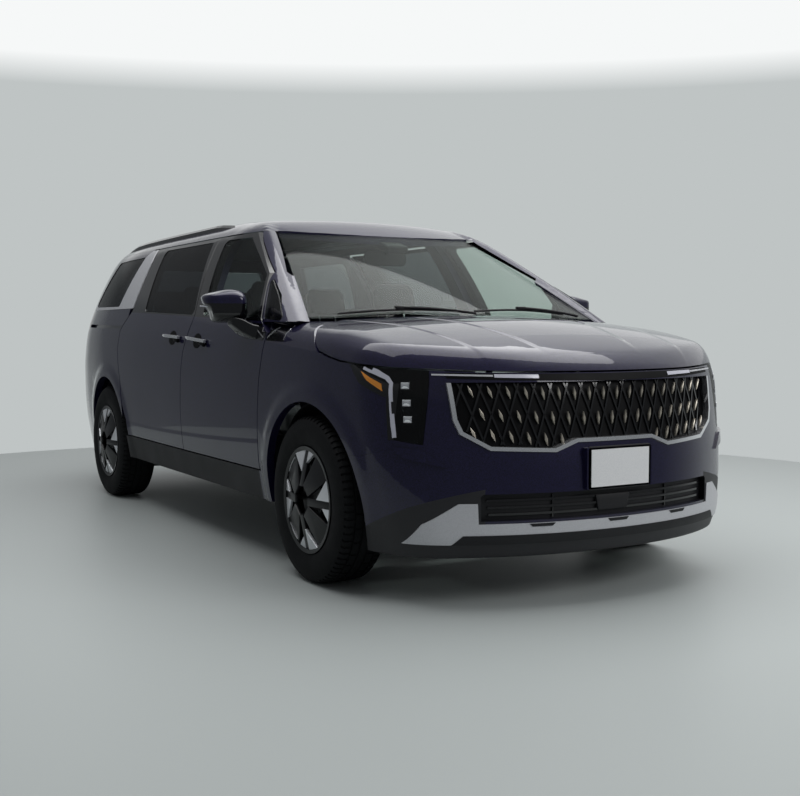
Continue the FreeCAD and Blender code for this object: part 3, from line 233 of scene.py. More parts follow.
def above_bumper_trim(tree, axes):
    """1 above the curved edge of the grained lower trim, and above the lip along the front."""
    trim = above_line(tree, axes, BUMPER_TRIM_Z, BUMPER_TRIM_SLOPE)
    lip = above_line(tree, axes, BUMPER_LIP_Z, 0.0)
    front = maths(tree, "GREATER_THAN", axes["X"], BUMPER_FRONT_X)
    return maths(tree, "MAXIMUM", trim, maths(tree, "MULTIPLY", lip, front))


def step_height(tree, across, along, line, width, rise):
    """Height of a pressed step that falls away across a line: across = a + b * along + c * along squared."""
    a, b, c = line
    line_at = maths(tree, "MULTIPLY_ADD", maths(tree, "MULTIPLY_ADD", along, c, b), along, a)
    away = maths(tree, "SUBTRACT", across, line_at)
    return ranged(tree, away, -width / 2.0, width / 2.0, rise, 0.0, "SMOOTHSTEP")


# Materials: what each real one gives the eye

def paint_shader(tree):
    """Dark navy metallic under clear lacquer. Fine flakes give the colour its grain, the lacquer its gloss."""
    shader = add(tree, "ShaderNodeBsdfPrincipled", {
        "Metallic": 0.3, "Specular IOR Level": 0.1, "Coat Weight": 1.0, "Coat Roughness": 0.03, "Coat IOR": 1.42})
    speckled(tree, shader, 0.002, "#0f0d1f", "#1f1c40")
    mottled(tree, shader, 0.6, 0.36, 0.44)
    return shader


def bonnet_shader(tree):
    """Paint with the creases beside the raised middle of the bonnet, which fade out before its front edge."""
    shader = paint_shader(tree)
    axes = split(tree, place(tree))
    off_middle = maths(tree, "ABSOLUTE", axes["Y"])
    fade = ranged(tree, axes["X"], CREASE_END_X, CREASE_FADE_X)
    first, second = [maths(tree, "MULTIPLY", step_height(tree, off_middle, axes["X"], *crease), fade)
                     for crease in BONNET_CREASES]
    bumped(tree, shader, maths(tree, "ADD", first, second), 1.0, 1.0)
    return shader


def door_paint_shader(tree):
    """Paint with the long crease pressed low along the doors."""
    shader = paint_shader(tree)
    axes = split(tree, place(tree))
    for crease in DOOR_CREASES:
        bumped(tree, shader, step_height(tree, axes["Z"], axes["X"], *crease), 1.0, 1.0)
    return shader


def gloss_black_shader(tree):
    """Polished black film on the window frames."""
    shader = add(tree, "ShaderNodeBsdfPrincipled", {
        "Base Color": linear("#08080b"), "Coat Weight": 0.3, "Coat Roughness": 0.04})
    mottled(tree, shader, 0.15, 0.08, 0.16)
    return shader


def grained_black_shader(tree):
    """Dull grained plastic of the bumper's lower edge."""
    shader = add(tree, "ShaderNodeBsdfPrincipled", {"Base Color": linear("#16161b")})
    grained(tree, shader, 700.0, 3.0, 0.35, 0.0006)
    mottled(tree, shader, 0.2, 0.42, 0.56)
    return shader


def textured_black(name, colour, gloss=0.35):
    """Moulded polypropylene with a spark-eroded grain of about 1.5 mm, which breaks its gloss up."""
    return surface(name, colour, {"Roughness": 0.55, "Specular IOR Level": gloss}, (0.2, 0.45, 0.62),
                   grain=(700.0, 3.0, 0.35, 0.0006))


def chrome(name, colour):
    """Chromium plate: a bright mirror, slightly hazed where it is wiped."""
    return surface(name, colour, {"Metallic": 0.85}, (0.1, 0.10, 0.18))


def lamp_plastic(name, colour):
    """Moulded acrylic of a lamp that isn't switched on: smooth, bright in its own colour."""
    return surface(name, colour, {"Coat Weight": 0.6, "Coat Roughness": 0.05}, (0.03, 0.12, 0.25))


def cast_metal(name, colour):
    """Sand cast or pressed steel with scale on it."""
    return surface(name, colour, {"Metallic": 0.6}, (0.08, 0.45, 0.7), grain=(120.0, 4.0, 0.3, 0.001))


GLASS_EDGE_GLOSS = 0.22
GLASS_FACE_GLOSS = 0.012


def window_glass(name, tint, clear_share):
    """Float glass as a thin tinted sheet: most light passes straight through, a small dark share is partly painted
    shade, and more is gloss at a slant.
    """
    made, tree = empty_material(name)
    passing = add(tree, "ShaderNodeBsdfTransparent", {"Color": linear(tint)})
    gloss = add(tree, "ShaderNodeBsdfGlossy", {"Roughness": 0.02, "Color": linear("#ffffff")})
    facing = add(tree, "ShaderNodeLayerWeight", {"Blend": 0.5}).outputs["Facing"]
    edge = maths(tree, "MULTIPLY_ADD", maths(tree, "POWER", facing, 5.0), GLASS_EDGE_GLOSS, GLASS_FACE_GLOSS)
    # The dark opaque share darkens what shows through the glass: partly the glass's own tint, partly painted shade
    # of the dim cabin and lamp housings behind it.
    dark = add(tree, "ShaderNodeBsdfPrincipled", {"Base Color": linear("#0b0d0e"), "Roughness": 0.2})
    share = ranged(tree, noise(tree, 3.0, 2.0), 0.0, 1.0, clear_share - 0.03, clear_share + 0.03)
    body = add(tree, "ShaderNodeMixShader", None,
               {"Fac": share, 1: dark.outputs["BSDF"], 2: passing.outputs["BSDF"]})
    mix = add(tree, "ShaderNodeMixShader", None, {"Fac": edge, 1: body.outputs["Shader"], 2: gloss.outputs["BSDF"]})
    add(tree, "ShaderNodeOutputMaterial", None, {"Surface": mix.outputs["Shader"]})
    return made


def cloth():
    """Dark seat cloth with a woven rib of about 4 mm, drawn coarse enough to show."""
    made = surface("woven_seat_cloth", "#1d1e22", {"Roughness": 0.9, "Sheen Weight": 0.35, "Sheen Roughness": 0.5})
    tree = made.node_tree
    shader = tree.nodes["Principled BSDF"]
    wave = add(tree, "ShaderNodeTexWave", {"Scale": 60.0, "Distortion": 1.5, "Detail": 2.0},
               {"Vector": place(tree)})
    tree.links.new(blended(tree, wave.outputs["Fac"], "#1d1e22", "#2b2c31"), shader.inputs["Base Color"])
    bumped(tree, shader, wave.outputs["Fac"], 0.25, 0.001)
    return made


PAINT = finished("metallic_paint", paint_shader)
BONNET_PAINT = finished("bonnet_paint_with_creases", bonnet_shader)
DOOR_PAINT = two_tone("door_paint_under_black_frames", door_paint_shader, gloss_black_shader, above_belt)
BUMPER_PAINT = two_tone("bumper_paint_over_grained_trim", grained_black_shader, paint_shader, above_bumper_trim)
MIRROR_PAINT = two_tone("mirror_paint_over_black_shell", gloss_black_shader, paint_shader, above_mirror_split)
# Injection moulded black ABS with a polished face
GLOSS_BLACK = surface("gloss_black_abs", "#09090c", {"Coat Weight": 0.3, "Coat Roughness": 0.05}, (0.15, 0.10, 0.2))
BLACK_PLASTIC = textured_black("textured_black_polypropylene", "#121216")
TRIM_DARK = textured_black("soft_grained_dashboard_foil", "#1a1b1f")
# Black polypropylene made darker and duller than the real moulding: painted shade of recesses. It covers the grille
# backing, the finger bowls, the lock ends and the light strip cover.
SHADE_DARKENED_BLACK = textured_black("black_polypropylene_darkened_as_shade", "#070709", 0.1)
CHROME = chrome("chrome_plate", "#e6e7ea")
# Satin silver lacquer on a moulding: fine flakes under a dull coat
SILVER = surface("satin_silver_lacquer", "#a7a9ad", {"Metallic": 0.1, "Coat Weight": 0.2}, (0.25, 0.34, 0.44),
                 (0.0015, "#b0b1b6", "#c6c7cb"))
# Dull warm silver lacquer of the small grille accents
BRONZE = surface("bronze_silver_lacquer", "#b3ac9f", {"Metallic": 0.5}, (0.05, 0.3, 0.42))
# Turned aluminium face under clear lacquer: pale, with soft highlights
MACHINED = surface("machined_aluminium", "#dcdee2", {"Metallic": 0.5, "Coat Weight": 0.3}, (0.02, 0.32, 0.42))
# Satin black baked enamel on cast aluminium
WHEEL_BLACK = surface("satin_black_wheel_enamel", "#0d0e11", {"Specular IOR Level": 0.3, "Coat Weight": 0.2},
                      (0.05, 0.3, 0.42))
# Carbon black tyre rubber, slightly dusty on the sidewall
RUBBER = surface("tyre_rubber", "#101113", {"Roughness": 0.7, "Specular IOR Level": 0.15}, (0.08, 0.6, 0.8),
                 (0.004, "#0d0e10", "#141517"), (500.0, 2.0, 0.2, 0.0005))
# Windscreen and front windows in green float glass, dyed privacy glass behind them, clear lens over dark housings
CLEAR_GLASS = window_glass("green_float_glass", "#ebf1ee", 0.975)
DARK_GLASS = window_glass("privacy_glass", "#a3a8ab", 0.80)
LENS = window_glass("polycarbonate_lens", "#8a8e94", 0.75)
# Acrylics of the lamps: a white guide, an amber marker, red tail lamps and a frosted clear one
LIGHT_GUIDE = lamp_plastic("frosted_light_guide", "#c6c6d2")
AMBER = lamp_plastic("amber_acrylic", "#dc8b30")
RED_LENS = lamp_plastic("red_acrylic", "#6d0f14")
CLEAR_ACRYLIC = lamp_plastic("frosted_clear_acrylic", "#b9bcc4")
# Silvered mirror glass: almost all light comes back, with faint wiped patches
MIRROR_GLASS = surface("silvered_mirror_glass", "#d0d4d6", {"Metallic": 1.0}, (0.1, 0.02, 0.05))
CLOTH = cloth()
STEEL = cast_metal("pressed_steel", "#5a5c60")
IRON = cast_metal("cast_iron", "#35363a")
# White reflective sheeting on pressed aluminium, left blank: glass beads of about 1 mm
PLATE_WHITE = surface("white_reflective_sheeting", "#e4e5e6", {"Roughness": 0.35}, None,
                      (0.002, "#dfe0e2", "#ebebec"))

NODE_FINISHES = (
    (PAINT, ("body_shell", "quarter_panels", "roof_panel", "wings", "rear_bumper", "tailgate")),
    (BUMPER_PAINT, ("front_bumper",)),
    (BONNET_PAINT, ("bonnet",)),
    (DOOR_PAINT, ("front_door_left", "front_door_right", "sliding_doors")),
    (MIRROR_PAINT, ("mirror_left", "mirror_right")),
    # The grille backing takes the black that is darkened as painted shade of its recess.
    (SHADE_DARKENED_BLACK, ("grille",)),
    (CHROME, ("grille_frame",)),
    (SILVER, ("skid_trim", "pillar_trims")),
    (GLOSS_BLACK, ("roof_rails",)),
    (BLACK_PLASTIC, ("lower_grille", "sill_covers", "wheel_liners")),
    (TRIM_DARK, ("dashboard", "steering_wheel")),
    (LENS, ("headlamps",)),
    (RED_LENS, ("tail_lamps",)),
    (CLEAR_GLASS, ("windscreen", "door_glass_left", "door_glass_right")),
    (DARK_GLASS, ("sliding_door_glass", "quarter_glass", "rear_glass")),
    (CLOTH, ("seats_front", "seats_middle", "seats_rear")),
    (STEEL, ("floor_pan", "front_subframe", "rear_axle", "exhaust")),
    (IRON, ("engine_block", "radiator", "knuckle_left", "knuckle_right")),
    (PLATE_WHITE, ("front_plate",)),
    (WHEEL_BLACK, ["rim_%s_%s" % wheel[:2] for wheel in WHEELS]),
    (RUBBER, ["tyre_%s_%s" % wheel[:2] for wheel in WHEELS]),
)
for finish, nodes in NODE_FINISHES:
    for node in nodes:
        for node_slot in frame["nodes"][node].material_slots:
            node_slot.link = "OBJECT"
            node_slot.material = finish


# Stage: floor, light and camera

FLOOR_RADIUS = 4.6
# The studio around the vehicle, by the direction of a ray: where the wall gives way to the ceiling along Z, and
# where the dim sides begin and are full, to the right along Y and ahead along X
WALL_TOP = (0.198, 0.222)
DIM_RIGHT = (0.06, -0.2)
DIM_RIGHT_LEAN = -0.5
DIM_AHEAD = (0.0, 0.5)
DIM_SHARE = 0.85
WALL_COLOUR = "#bfc4c4"
CEILING_COLOUR = "#f6f8f8"
DIM_COLOUR = "#4a4d52"
# (name, place, target, length, width, power in watts)
LIGHTS = (("ceiling_softbox", (0.5, 0.0, 5.2), (0.3, 0.0, 0.0), 7.5, 5.0, 290.0),
          ("front_softbox", (6.5, 2.5, 3.4), (1.5, 0.0, 0.9), 3.5, 2.2, 120.0))
CAMERA_PLACE = Vector((6.1588, -3.1290, 1.1153))
CAMERA_HEADING = math.radians(30.17)
CAMERA_PITCH = math.radians(-3.44)
CAMERA_LENS = 51.49


def floor():
    """A round pale floor that ends behind the vehicle, where the wall's colour takes over."""
    ground = primitive("floor", bpy.ops.mesh.primitive_circle_add, vertices=128, radius=FLOOR_RADIUS,
                       fill_type="NGON")
    ground.data.materials.append(surface("pale_floor", "#adb3b2", {"Roughness": 0.45, "Specular IOR Level": 0.4}))


def world():
    """A studio: pale wall and white ceiling behind the vehicle, dim towards the camera's side and the front."""
    sky = bpy.data.worlds.new("studio")
    bpy.context.scene.world = sky
    sky.use_nodes = True
    tree = sky.node_tree
    tree.nodes.clear()
    axes = split(tree, add(tree, "ShaderNodeTexCoord").outputs["Generated"])
    walls = blended(tree, ranged(tree, axes["Z"], *WALL_TOP), WALL_COLOUR, CEILING_COLOUR)
    right = ranged(tree, maths(tree, "MULTIPLY_ADD", axes["Z"], DIM_RIGHT_LEAN, axes["Y"]), *DIM_RIGHT)
    ahead = ranged(tree, axes["X"], *DIM_AHEAD)
    dim = maths(tree, "MULTIPLY", maths(tree, "MAXIMUM", right, ahead), DIM_SHARE)
    light = add(tree, "ShaderNodeBackground", {"Strength": 1.0}, {"Color": blended(tree, dim, walls, DIM_COLOUR)})
    add(tree, "ShaderNodeOutputWorld", None, {"Surface": light.outputs["Background"]})


def area_light(name, location, target, size_x, size_y, power):
    bpy.ops.object.light_add(type="AREA", location=location)
    lamp = bpy.context.object
    lamp.name = name
    assign(lamp.data, {"shape": "RECTANGLE", "size": size_x, "size_y": size_y, "energy": power})
    aim = Vector(target) - Vector(location)
    lamp.rotation_euler = aim.to_track_quat("-Z", "Y").to_euler()


def camera():
    """The camera at the place from which the photo was taken."""
    bpy.ops.object.camera_add(location=CAMERA_PLACE)
    eye = bpy.context.object
    eye.name = "camera"
    level = math.cos(CAMERA_PITCH)
    aim = Vector((-math.cos(CAMERA_HEADING) * level, math.sin(CAMERA_HEADING) * level, math.sin(CAMERA_PITCH)))
    eye.rotation_euler = aim.to_track_quat("-Z", "Y").to_euler()
    assign(eye.data, {"lens": CAMERA_LENS, "sensor_width": 36.0, "clip_end": 200.0})
    bpy.context.scene.camera = eye


# Modelling by hand: small steps that the pieces below share

def assign(item, settings):
    for key, value in settings.items():
        setattr(item, key, value)


def turned(degrees, axis):
    return Matrix.Rotation(math.radians(degrees), 4, axis)


def shifted(x, y, z):
    return Matrix.Translation((x, y, z))


def activate(piece):
    """Makes a piece the active object and the only selected one."""
    deselect()
    piece.select_set(True)
    bpy.context.view_layer.objects.active = piece


def start_edit(piece, cuts=0):
    """Edit mode on one piece, subdivided by some cuts, with nothing of it selected."""
    activate(piece)
    bpy.ops.object.mode_set(mode="EDIT")
    if cuts:
        bpy.ops.mesh.select_all(action="SELECT")
        bpy.ops.mesh.subdivide(number_cuts=cuts)
    bpy.ops.mesh.select_all(action="DESELECT")


def choose(piece, kind, test):
    """Selects the vertices or faces whose middle and normal pass a test."""
    bpy.ops.mesh.select_mode(type=kind)
    mesh = bmesh.from_edit_mesh(piece.data)
    for item in mesh.verts if kind == "VERT" else mesh.faces:
        middle = item.co if kind == "VERT" else item.calc_center_median()
        item.select_set(test(middle, item.normal))
    mesh.select_flush_mode()
    bmesh.update_edit_mesh(piece.data)


def end_edit():
    bpy.ops.object.mode_set(mode="OBJECT")


def shaped(piece, cuts, steps):
    """Subdivides a piece and moves what a test chooses, or scales it where a step ends with a centre."""
    start_edit(piece, cuts)
    for kind, test, value, *centre in steps:
        choose(piece, kind, test)
        if centre:
            bpy.ops.transform.resize(value=value, center_override=centre[0])
        else:
            bpy.ops.transform.translate(value=value)
    end_edit()
    return piece


def inset(piece, test, *insets):
    """Insets the chosen faces by (thickness, depth), once or more."""
    start_edit(piece)
    choose(piece, "FACE", test)
    for thickness, depth in insets:
        bpy.ops.mesh.inset(thickness=thickness, depth=depth)
    end_edit()


def primitive(name, adder, **settings):
    """A new primitive with its place and turn already in its mesh."""
    deselect()
    adder(**settings)
    piece = bpy.context.object
    piece.name = name
    piece.data.name = name
    bpy.ops.object.transform_apply(location=True, rotation=True, scale=True)
    return piece


def box(name, size, centre=(0.0, 0.0, 0.0)):
    """A cube primitive brought to its size and place."""
    return primitive(name, bpy.ops.mesh.primitive_cube_add, size=1.0, scale=size, location=centre)


def modify(piece, kind, **settings):
    """Adds a modifier and applies it."""
    activate(piece)
    modifier = piece.modifiers.new(kind, kind)
    assign(modifier, settings)
    bpy.ops.object.modifier_apply(modifier=modifier.name)
    return piece


def bevelled(piece, width, segments=3, angle=35.0):
    return modify(piece, "BEVEL", width=width, segments=segments, angle_limit=math.radians(angle))


def outward(piece):
    """Merges the doubles of a closed piece and recalculates its normals."""
    start_edit(piece)
    bpy.ops.mesh.select_all(action="SELECT")
    bpy.ops.mesh.remove_doubles(threshold=0.00001)
    bpy.ops.mesh.normals_make_consistent(inside=False)
    end_edit()
    return piece


def copied(piece, name, matrix):
    """A copy with a mesh of its own, moved by a matrix."""
    twin = piece.copy()
    twin.data = piece.data.copy()
    twin.name = name
    twin.data.name = name
    bpy.context.scene.collection.objects.link(twin)
    twin.data.transform(matrix)
    if matrix.determinant() < 0:
        twin.data.flip_normals()
    return twin


MIRROR = Matrix.Scale(-1.0, 4, Vector((0.0, 1.0, 0.0)))


def fit(piece, body, finish, angle=35.0):
    """Gives a finished piece its finish and fastens it to its body."""
    piece.data.materials.clear()
    piece.data.materials.append(finish)
    activate(piece)
    bpy.ops.object.shade_smooth_by_angle(angle=math.radians(angle))
    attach(piece, body)
    return piece


def both_sides(piece, body, finish, angle=35.0):
    """Fits a right-hand piece and its mirrored left-hand twin. body may hold %s for the side."""
    name = piece.name
    twin = copied(piece, name + "_left", MIRROR)
    piece.name = name + "_right"
    fit(piece, body.replace("%s", "right"), finish, angle)
    fit(twin, body.replace("%s", "left"), finish, angle)
    return piece, twin


def joined(name, pieces):
    deselect()
    for piece in pieces:
        piece.select_set(True)
    bpy.context.view_layer.objects.active = pieces[0]
    bpy.ops.object.join()
    whole = bpy.context.view_layer.objects.active
    whole.name = name
    whole.data.name = name
    return whole


def from_curve(name, points, kind, curve_settings, spline_settings):
    """A mesh made from a curve through points."""
    curve = bpy.data.curves.new(name, "CURVE")
    assign(curve, curve_settings)
    spline = curve.splines.new(kind)
    spline.points.add(len(points) - 1)
    for point, at in zip(spline.points, points):
        point.co = (*at, 1.0)
    assign(spline, spline_settings)
    piece = bpy.data.objects.new(name, curve)
    bpy.context.scene.collection.objects.link(piece)
    activate(piece)
    bpy.ops.object.convert(target="MESH")
    return bpy.context.object


def plate(name, outline, thickness, bevel):
    """A flat plate in the X-Z plane whose outer face looks along -Y from y = 0."""
    piece = from_curve(name, [(u, v, 0.0) for u, v in outline], "POLY", {
        "dimensions": "2D", "fill_mode": "BOTH", "extrude": thickness / 2.0 - bevel, "bevel_depth": bevel,
        "bevel_resolution": 1}, {"use_cyclic_u": True})
    piece.data.transform(shifted(0.0, thickness / 2.0, 0.0) @ turned(90.0, "X"))
    return outward(piece)


def rod(name, points, radius):
    """A round bar along a smooth line with closed ends."""
    return outward(from_curve(name, points, "NURBS", {
        "dimensions": "3D", "bevel_depth": radius, "bevel_resolution": 3, "use_fill_caps": True},
        {"order_u": 3, "use_endpoint_u": True, "resolution_u": 6}))


def rounded_outline(low_u, low_v, high_u, high_v, radius):
    """The outline of a rectangle with round corners."""
    points = []
    corners = ((high_u - radius, high_v - radius, 0), (low_u + radius, high_v - radius, 90),
               (low_u + radius, low_v + radius, 180), (high_u - radius, low_v + radius, 270))
    for u, v, turn in corners:
        for k in range(5):
            angle = math.radians(turn + k * 22.5)
            points.append((u + radius * math.cos(angle), v + radius * math.sin(angle)))
    return points


# Sides of the vehicle: x is the front, -x the rear, y the right-hand side and z the top
START_PLANE = {"y": -1.4, "x": 3.2, "-x": -3.2}
INWARD = {"y": (0.0, 1.0, 0.0), "x": (-1.0, 0.0, 0.0), "-x": (1.0, 0.0, 0.0), "z": (0.0, 0.0, -1.0)}
NOT_MOVED = 0.05
SHEET_MARGIN = 1.01


def surface_tree(node):
    """The faces of a node, ready for rays."""
    mesh = bmesh.new()
    mesh.from_mesh(frame["nodes"][node].data)
    tree = BVHTree.FromBMesh(mesh)
    mesh.free()
    return tree


def struck(skin, side, start):
    """The place where a line from one side meets a surface, and the normal there, or None for both."""
    return skin.ray_cast(Vector(start), Vector(INWARD[side]))[:2]


def surface_point(node, side, start, lift):
    """The place where a line from one side meets a node, lifted off it."""
    at, normal = struck(surface_tree(node), side, start)
    return at + normal * lift


def laid_on(piece, nodes, side, lift, thickness):
    """Presses a flat sheet onto nodes from one side, drops what missed them, and gives it its thickness."""
    targets = [frame["nodes"][node] for node in nodes.split()]
    towards_plus = side in ("y", "-x")
    modify(piece, "SHRINKWRAP", wrap_method="PROJECT", target=targets[0],
           auxiliary_target=targets[1] if len(targets) > 1 else None,
           use_project_x=side != "y", use_project_y=side == "y", use_project_z=False,
           use_positive_direction=towards_plus, use_negative_direction=not towards_plus, offset=lift)
    row = 1 if side == "y" else 0
    start_edit(piece)
    choose(piece, "VERT", lambda p, n: abs(p[row] - START_PLANE[side]) < NOT_MOVED)
    bpy.ops.mesh.delete(type="VERT")
    end_edit()
    return modify(piece, "SOLIDIFY", thickness=thickness, offset=0.0)


def to_side(piece, side):
    """Stands a sheet that was drawn flat on X-Y up at the start plane of a side."""
    across = (0, 0, 1, START_PLANE[side])
    rows = ((1, 0, 0, 0), across) if side == "y" else (across, (1, 0, 0, 0))
    piece.data.transform(Matrix((*rows, (0, 1, 0, 0), (0, 0, 0, 1))))
    return piece


def moulding(name, outline, nodes, side, lift, thickness, step=0.02):
    """A thin moulding with a convex outline, drawn in the plane across a side and laid on nodes."""
    lows, highs = [[extreme(point[i] for point in outline) for i in (0, 1)] for extreme in (min, max)]
    sizes = [highs[i] - lows[i] for i in (0, 1)]
    middle = Vector(((lows[0] + highs[0]) / 2, (lows[1] + highs[1]) / 2, 0.0))
    sheet = primitive(name, bpy.ops.mesh.primitive_grid_add, size=1.0, x_subdivisions=max(2, int(sizes[0] / step)),
                      y_subdivisions=max(2, int(sizes[1] / step)), location=middle)
    spread = Matrix.Diagonal((sizes[0] * SHEET_MARGIN, sizes[1] * SHEET_MARGIN, 1, 1))
    sheet.data.transform(Matrix.Translation(middle) @ spread @ Matrix.Translation(-middle))
    centre = Vector((*(sum(point[i] for point in outline) / len(outline) for i in (0, 1)), 0.0))
    start_edit(sheet)
    for here, there in zip(outline, outline[1:] + outline[:1]):
        outer = Vector((there[1] - here[1], here[0] - there[0], 0.0)).normalized()
        at = Vector((*here, 0.0))
        if outer.dot(centre - at) > 0:
            outer = -outer
        bpy.ops.mesh.select_all(action="SELECT")
        bpy.ops.mesh.bisect(plane_co=at, plane_no=outer, clear_outer=True)
    end_edit()
    return laid_on(to_side(sheet, side), nodes, side, lift, thickness)


def band(name, line, widths, nodes, side, lift, thickness, step=0.02):
    """A strip that follows a line, drawn in the plane across a side and laid on nodes."""
    points = [line[0]]
    spans = [widths[0]]
    for i in range(1, len(line)):
        parts = max(1, int(math.dist(line[i - 1], line[i]) / step))
        for k in range(1, parts + 1):
            share = k / parts
            points.append(tuple(line[i - 1][j] * (1 - share) + line[i][j] * share for j in (0, 1)))
            spans.append(widths[i - 1] * (1 - share) + widths[i] * share)
    strip = primitive(name, bpy.ops.mesh.primitive_grid_add, size=1.0, x_subdivisions=len(points) - 1,
                      y_subdivisions=2)
    columns = sorted(strip.data.vertices, key=lambda v: (round(v.co.x, 5), v.co.y))
    for i, at in enumerate(points):
        along = (Vector(points[min(len(points) - 1, i + 1)]) - Vector(points[max(0, i - 1)])).normalized()
        across = Vector((-along.y, along.x))
        for k in range(3):
            where = Vector(at) + across * spans[i] * (k - 1) / 2
            columns[i * 3 + k].co = (where.x, where.y, 0.0)
    return laid_on(to_side(strip, side), nodes, side, lift, thickness)


floor()
world()
for light_settings in LIGHTS:
    area_light(*light_settings)
camera()
bpy.context.scene.view_settings.view_transform = "Standard"


# Grille: a lattice of crossing bars with a slim rhombus accent in each cell

ACCENT_PITCH = 0.0715
ACCENT_SIZE = (0.007, 0.0125, 0.056)
ACCENT_REACH = 0.64
ACCENT_LIFT = 0.009
# (height at the middle, rise at the ends, stagger in pitches)
ACCENT_ROWS = ((0.853, 0.014, 0.5), (0.752, 0.028, 0.0), (0.662, 0.040, 0.5))
ACCENT_ROW_END = 0.6
LATTICE_WIDTH = 0.008
LATTICE_LOW = 0.645
LATTICE_HIGH = 0.903


def grille_pieces():
    skin = surface_tree("grille")
    accent = primitive("grille_accent", bpy.ops.mesh.primitive_cylinder_add, vertices=4, radius=0.5, depth=1.0,
                       rotation=(0.0, math.radians(90.0), 0.0))
    accent.data.transform(Matrix.Diagonal((*ACCENT_SIZE, 1.0)))
    inset(accent, lambda p, n: n.x > 0.9, (0.0035, 0.003))
    placed = []
    for height, rise, stagger in ACCENT_ROWS:
        for k in range(-10, 11):
            y = (k + stagger) * ACCENT_PITCH
            if abs(y) > ACCENT_REACH:
                continue
            at, normal = struck(skin, "x", (3.0, y, height + rise * (y / ACCENT_ROW_END) ** 2))
            if at is None:
                continue
            facing = Matrix.Rotation(math.atan2(normal.y, normal.x), 4, "Z")
            slant = Matrix.Rotation(-math.atan(0.5 * y / ACCENT_ROW_END), 4, "X")
            placed.append(copied(accent, "accent", Matrix.Translation(at + normal * ACCENT_LIFT) @ facing @ slant))
    bpy.data.objects.remove(accent)
    fit(joined("grille_accents", placed), "body", BRONZE)

    row_step = ACCENT_ROWS[0][0] - ACCENT_ROWS[1][0]
    tall = LATTICE_HIGH - LATTICE_LOW
    reach = ACCENT_PITCH / 2.0 * tall / row_step
    bars = []
    bar = primitive("lattice_bar", bpy.ops.mesh.primitive_grid_add, size=1.0, x_subdivisions=1, y_subdivisions=24)
    for lean in (1, -1):
        for k in range(-13, 14):
            slope = Matrix(((LATTICE_WIDTH, lean * reach, 0, (k + 0.5) * ACCENT_PITCH),
                            (0, tall, 0, (LATTICE_LOW + LATTICE_HIGH) / 2.0), (0, 0, 1, 0), (0, 0, 0, 1)))
            bars.append(copied(bar, "bar", slope))
    bpy.data.objects.remove(bar)
    lattice = to_side(joined("grille_lattice", bars), "x")
    laid_on(lattice, "grille", "x", 0.003, 0.007)
    fit(lattice, "body", GLOSS_BLACK)


# Front: light strip, lamps, intake and plate

LAMP_MODULE_Y = -0.838
LAMP_MODULE_HEIGHTS = (0.892, 0.824, 0.759)
SLAT_HEIGHTS = (0.436, 0.408, 0.380)
POST_PLACES = (-0.30, 0.30)
NOTCH_PLACES = (-0.36, 0.0, 0.36)


